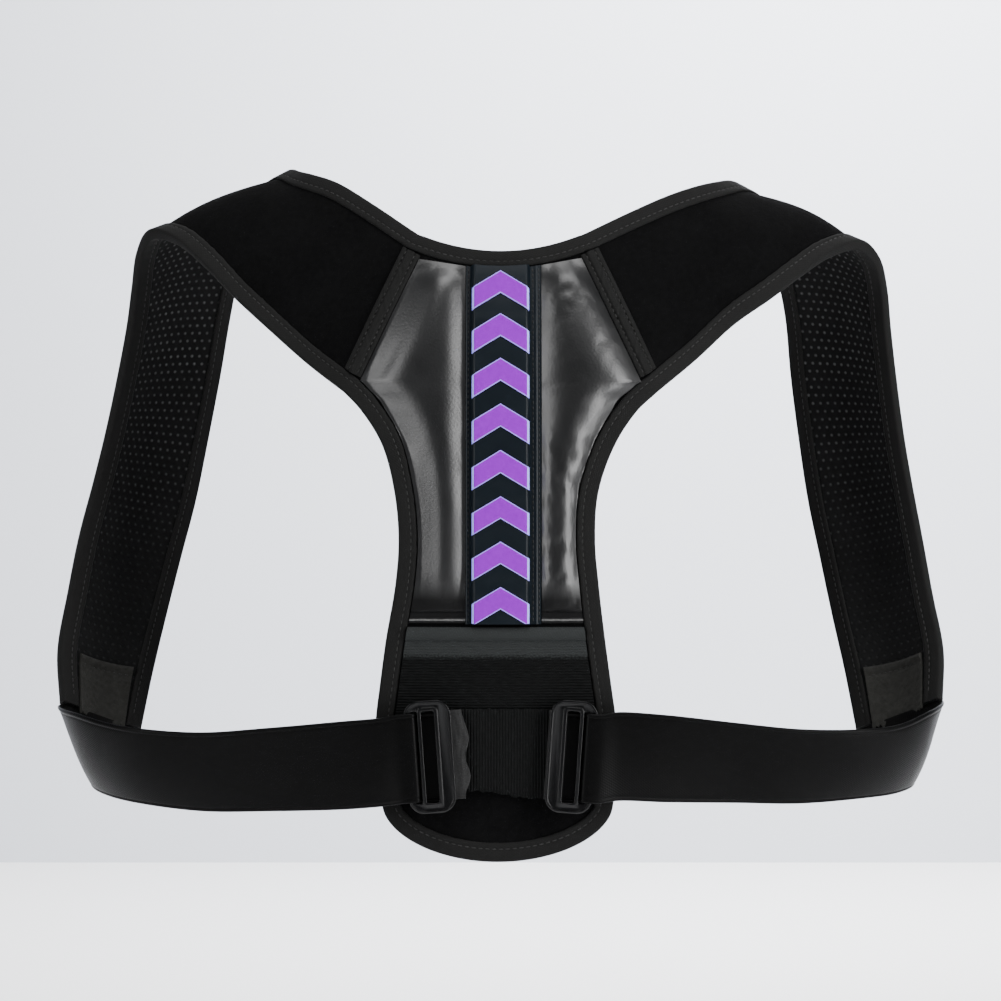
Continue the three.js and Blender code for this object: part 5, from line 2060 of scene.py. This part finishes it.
@dataclass
class SlideBuckle:
    """A moulded slide buckle: a rounded plate with two slots and a raised lip."""

    side: Side
    shape: BuckleShape
    wardrobe: Wardrobe

    @staticmethod
    def rounded_box(name: str, size: tuple, middle: tuple, radius: float) -> Piece:
        """A box whose upright corners are rounded, made flat in the XY plane.

        Args:
            name: The object's name.
            size: Its width, height and thickness in millimetres.
            middle: Its centre.
            radius: The corner radius.

        Returns:
            The object.
        """
        bpy.ops.object.select_all(action="DESELECT")
        bpy.ops.mesh.primitive_cube_add(size=1)
        box = bpy.context.active_object
        box.name = name
        box.data.transform(Matrix.Diagonal((*(value * MM for value in size), 1)))
        box.data.transform(Matrix.Translation(Vector(middle) * MM))
        bpy.ops.object.mode_set(mode="EDIT")
        bpy.ops.mesh.select_all(action="DESELECT")
        bpy.ops.mesh.select_mode(type="EDGE")
        work = bmesh.from_edit_mesh(box.data)
        for edge in work.edges:
            way = (edge.verts[0].co - edge.verts[1].co).normalized()
            edge.select_set(abs(way.z) > 0.9)
        work.select_flush_mode()
        bmesh.update_edit_mesh(box.data)
        bpy.ops.mesh.bevel(offset=radius * MM, segments=12, affect="EDGES")
        bpy.ops.object.mode_set(mode="OBJECT")
        return box

    def combine(self, body: Piece, tool: Piece, way: str) -> None:
        """Joins or cuts the body with a tool, which is then removed.

        Args:
            body: The object that is changed.
            tool: The object that is joined to it or cut from it.
            way: Either UNION or DIFFERENCE.
        """
        bpy.ops.object.select_all(action="DESELECT")
        bpy.context.view_layer.objects.active = body
        body.select_set(True)
        modifier = body.modifiers.new(way.lower(), "BOOLEAN")
        modifier.operation, modifier.solver, modifier.object = way, "EXACT", tool
        bpy.ops.object.modifier_apply(modifier=modifier.name)
        bpy.data.objects.remove(tool)

    def build(self) -> None:
        """Makes, places and dresses the buckle."""
        shape, thick = self.shape, self.shape.layers.buckle
        body = self.rounded_box(f"slide_buckle_{self.side.word}",
                                (shape.width, shape.height, thick), (0, 0, 0), shape.corner)
        pocket = self.rounded_box(
            "pocket", (shape.width - 2 * shape.rim, shape.height - 2 * shape.rim, thick),
            (0, 0, thick - shape.pocket), shape.corner - shape.rim)
        self.combine(body, pocket, "DIFFERENCE")
        lip = self.rounded_box("lip", (shape.open_slot + 2 * shape.lip_wide,
                                       shape.slot_height + 2 * shape.lip_wide, thick + shape.lip),
                               (shape.open_middle, 0, shape.lip / 2), shape.lip_corner)
        self.combine(body, lip, "UNION")
        for middle, width, radius in (
                (shape.thread_middle, shape.thread_slot, shape.thread_corner),
                (shape.open_middle, shape.open_slot, shape.open_corner)):
            cutter = self.rounded_box("cutter", (width, shape.slot_height, 3 * thick),
                                      (middle, 0, 0), radius)
            self.combine(body, cutter, "DIFFERENCE")
        bevel = body.modifiers.new("edges", "BEVEL")
        bevel.width, bevel.segments, bevel.limit_method = shape.edge_round * MM, 3, "ANGLE"
        bevel.angle_limit = math.radians(35)
        bpy.context.view_layer.objects.active = body
        bpy.ops.object.modifier_apply(modifier=bevel.name)
        middle, out, up = shape.axes(self.side)
        place = Matrix(np.stack([out, up, [0.0, -1.0, 0.0]], -1).tolist()).to_4x4()
        place.translation = Vector(middle * MM)
        body.data.transform(place)
        MeshMaker.smooth(body.data, 40)
        self.wardrobe.dress(body, "buckle_plastic", f"buckle_{self.side.word}")


@dataclass
class Studio:
    """Camera, lights, floor and backdrop."""

    camera_away: float = 1.5
    camera_down: float = 0.036
    lens: float = 119.9
    sensor: float = 36
    floor_down: float = 0.416
    floor_colour: Colour = (0.90, 0.90, 0.91)
    wall_back: float = 2.0
    wall_high: float = 6.0
    wall_colour: Colour = (0.58, 0.60, 0.645)
    half_wide: float = 8.0
    surround: tuple = (0.9, 0.93, 1, 1)
    surround_power: float = 0.22

    def build(self) -> None:
        """Sets the whole studio up."""
        self.camera()
        self.ground()
        self.lights()

    def camera(self) -> None:
        """The camera, level, looking at the panel."""
        data = bpy.data.cameras.new("camera")
        data.lens, data.sensor_width = self.lens, self.sensor
        camera = bpy.data.objects.new("camera", data)
        camera.location = (0, -self.camera_away, -self.camera_down)
        camera.rotation_euler = (math.pi / 2, 0, 0)
        bpy.context.scene.collection.objects.link(camera)
        bpy.context.scene.camera = camera

    def plane(self, name: str, corners: list[tuple], colour: Colour) -> None:
        """A plain sheet of the stage.

        Args:
            name: Its name.
            corners: Its four corners in metres.
            colour: Its colour.
        """
        mesh = bpy.data.meshes.new(name)
        mesh.from_pydata(corners, [], [(0, 1, 2, 3)])
        material = bpy.data.materials.new(name)
        material.use_nodes = True
        shader = material.node_tree.nodes["Principled BSDF"]
        shader.inputs["Base Color"].default_value = paint(colour)
        shader.inputs["Roughness"].default_value = 0.9
        mesh.materials.append(material)
        piece = bpy.data.objects.new(name, mesh)
        bpy.context.scene.collection.objects.link(piece)

    def ground(self) -> None:
        """Pale floor and wall, the wall far enough back for a look at the body side."""
        wide, y, z = self.half_wide, self.wall_back, -self.floor_down
        top = z + self.wall_high
        self.plane("floor", [(-wide, -wide, z), (wide, -wide, z), (wide, y, z), (-wide, y, z)],
                   self.floor_colour)
        self.plane("backdrop", [(-wide, y, z), (wide, y, z), (wide, y, top), (-wide, y, top)],
                   self.wall_colour)

    def lamp(self, name: str, place: tuple, aim: tuple, size: tuple, power: float) -> None:
        """A rectangular soft light aimed at a point.

        Args:
            name: Its name.
            place: Where it stands, in metres.
            aim: The point that it is aimed at.
            size: Its width and height.
            power: Its power in watts.
        """
        data = bpy.data.lights.new(name, "AREA")
        data.shape, data.energy = "RECTANGLE", power
        data.size, data.size_y = size
        lamp = bpy.data.objects.new(name, data)
        lamp.location = place
        lamp.rotation_euler = (Vector(aim) - Vector(place)).to_track_quat("-Z", "Y").to_euler()
        bpy.context.scene.collection.objects.link(lamp)

    def lights(self) -> None:
        """Two side softboxes, a top light, a wash on the wall and a pale surround."""
        aim = (0, 0, -0.04)
        self.lamp("left_box", (-1.1, -0.75, 0.3), aim, (0.45, 1.2), 16)
        self.lamp("right_box", (1.1, -0.75, 0.2), aim, (0.45, 1.3), 34)
        self.lamp("top_box", (0.2, -0.6, 1.5), aim, (1.2, 0.7), 24)
        self.lamp("wall_wash", (0.5, 1.1, 0.9), (0.2, 2.0, 0.35), (0.8, 0.5), 75)
        self.lamp("floor_wash", (0.2, 0.8, 1.4), (0.1, 0.9, -0.4), (1.6, 0.8), 22)
        world = bpy.data.worlds.new("surround")
        world.use_nodes = True
        sky = world.node_tree.nodes["Background"].inputs
        sky["Color"].default_value, sky["Strength"].default_value = self.surround, self.surround_power
        bpy.context.scene.world = world


def main() -> None:
    """Builds every sub-assembly in order."""
    logging.basicConfig(level=logging.INFO, format="%(message)s")
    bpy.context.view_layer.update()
    wardrobe = Wardrobe()
    sheet = PanelSheet()
    straps = {side: StrapShape(side, sheet) for side in Side}
    buckle = BuckleShape()
    BackPanel(sheet, wardrobe).build()
    for side in Side:
        ShoulderStrap(straps[side], wardrobe).build()
    Binding(sheet, straps, wardrobe).build()
    for side in Side:
        SideWebbing(side, straps[side], buckle, wardrobe).build()
        SlideBuckle(side, buckle, wardrobe).build()
    CentreBand(buckle, wardrobe).build()
    Studio().build()
    LOG.info("%d pieces dressed", wardrobe.dressed)


if __name__ == "__main__":
    main()
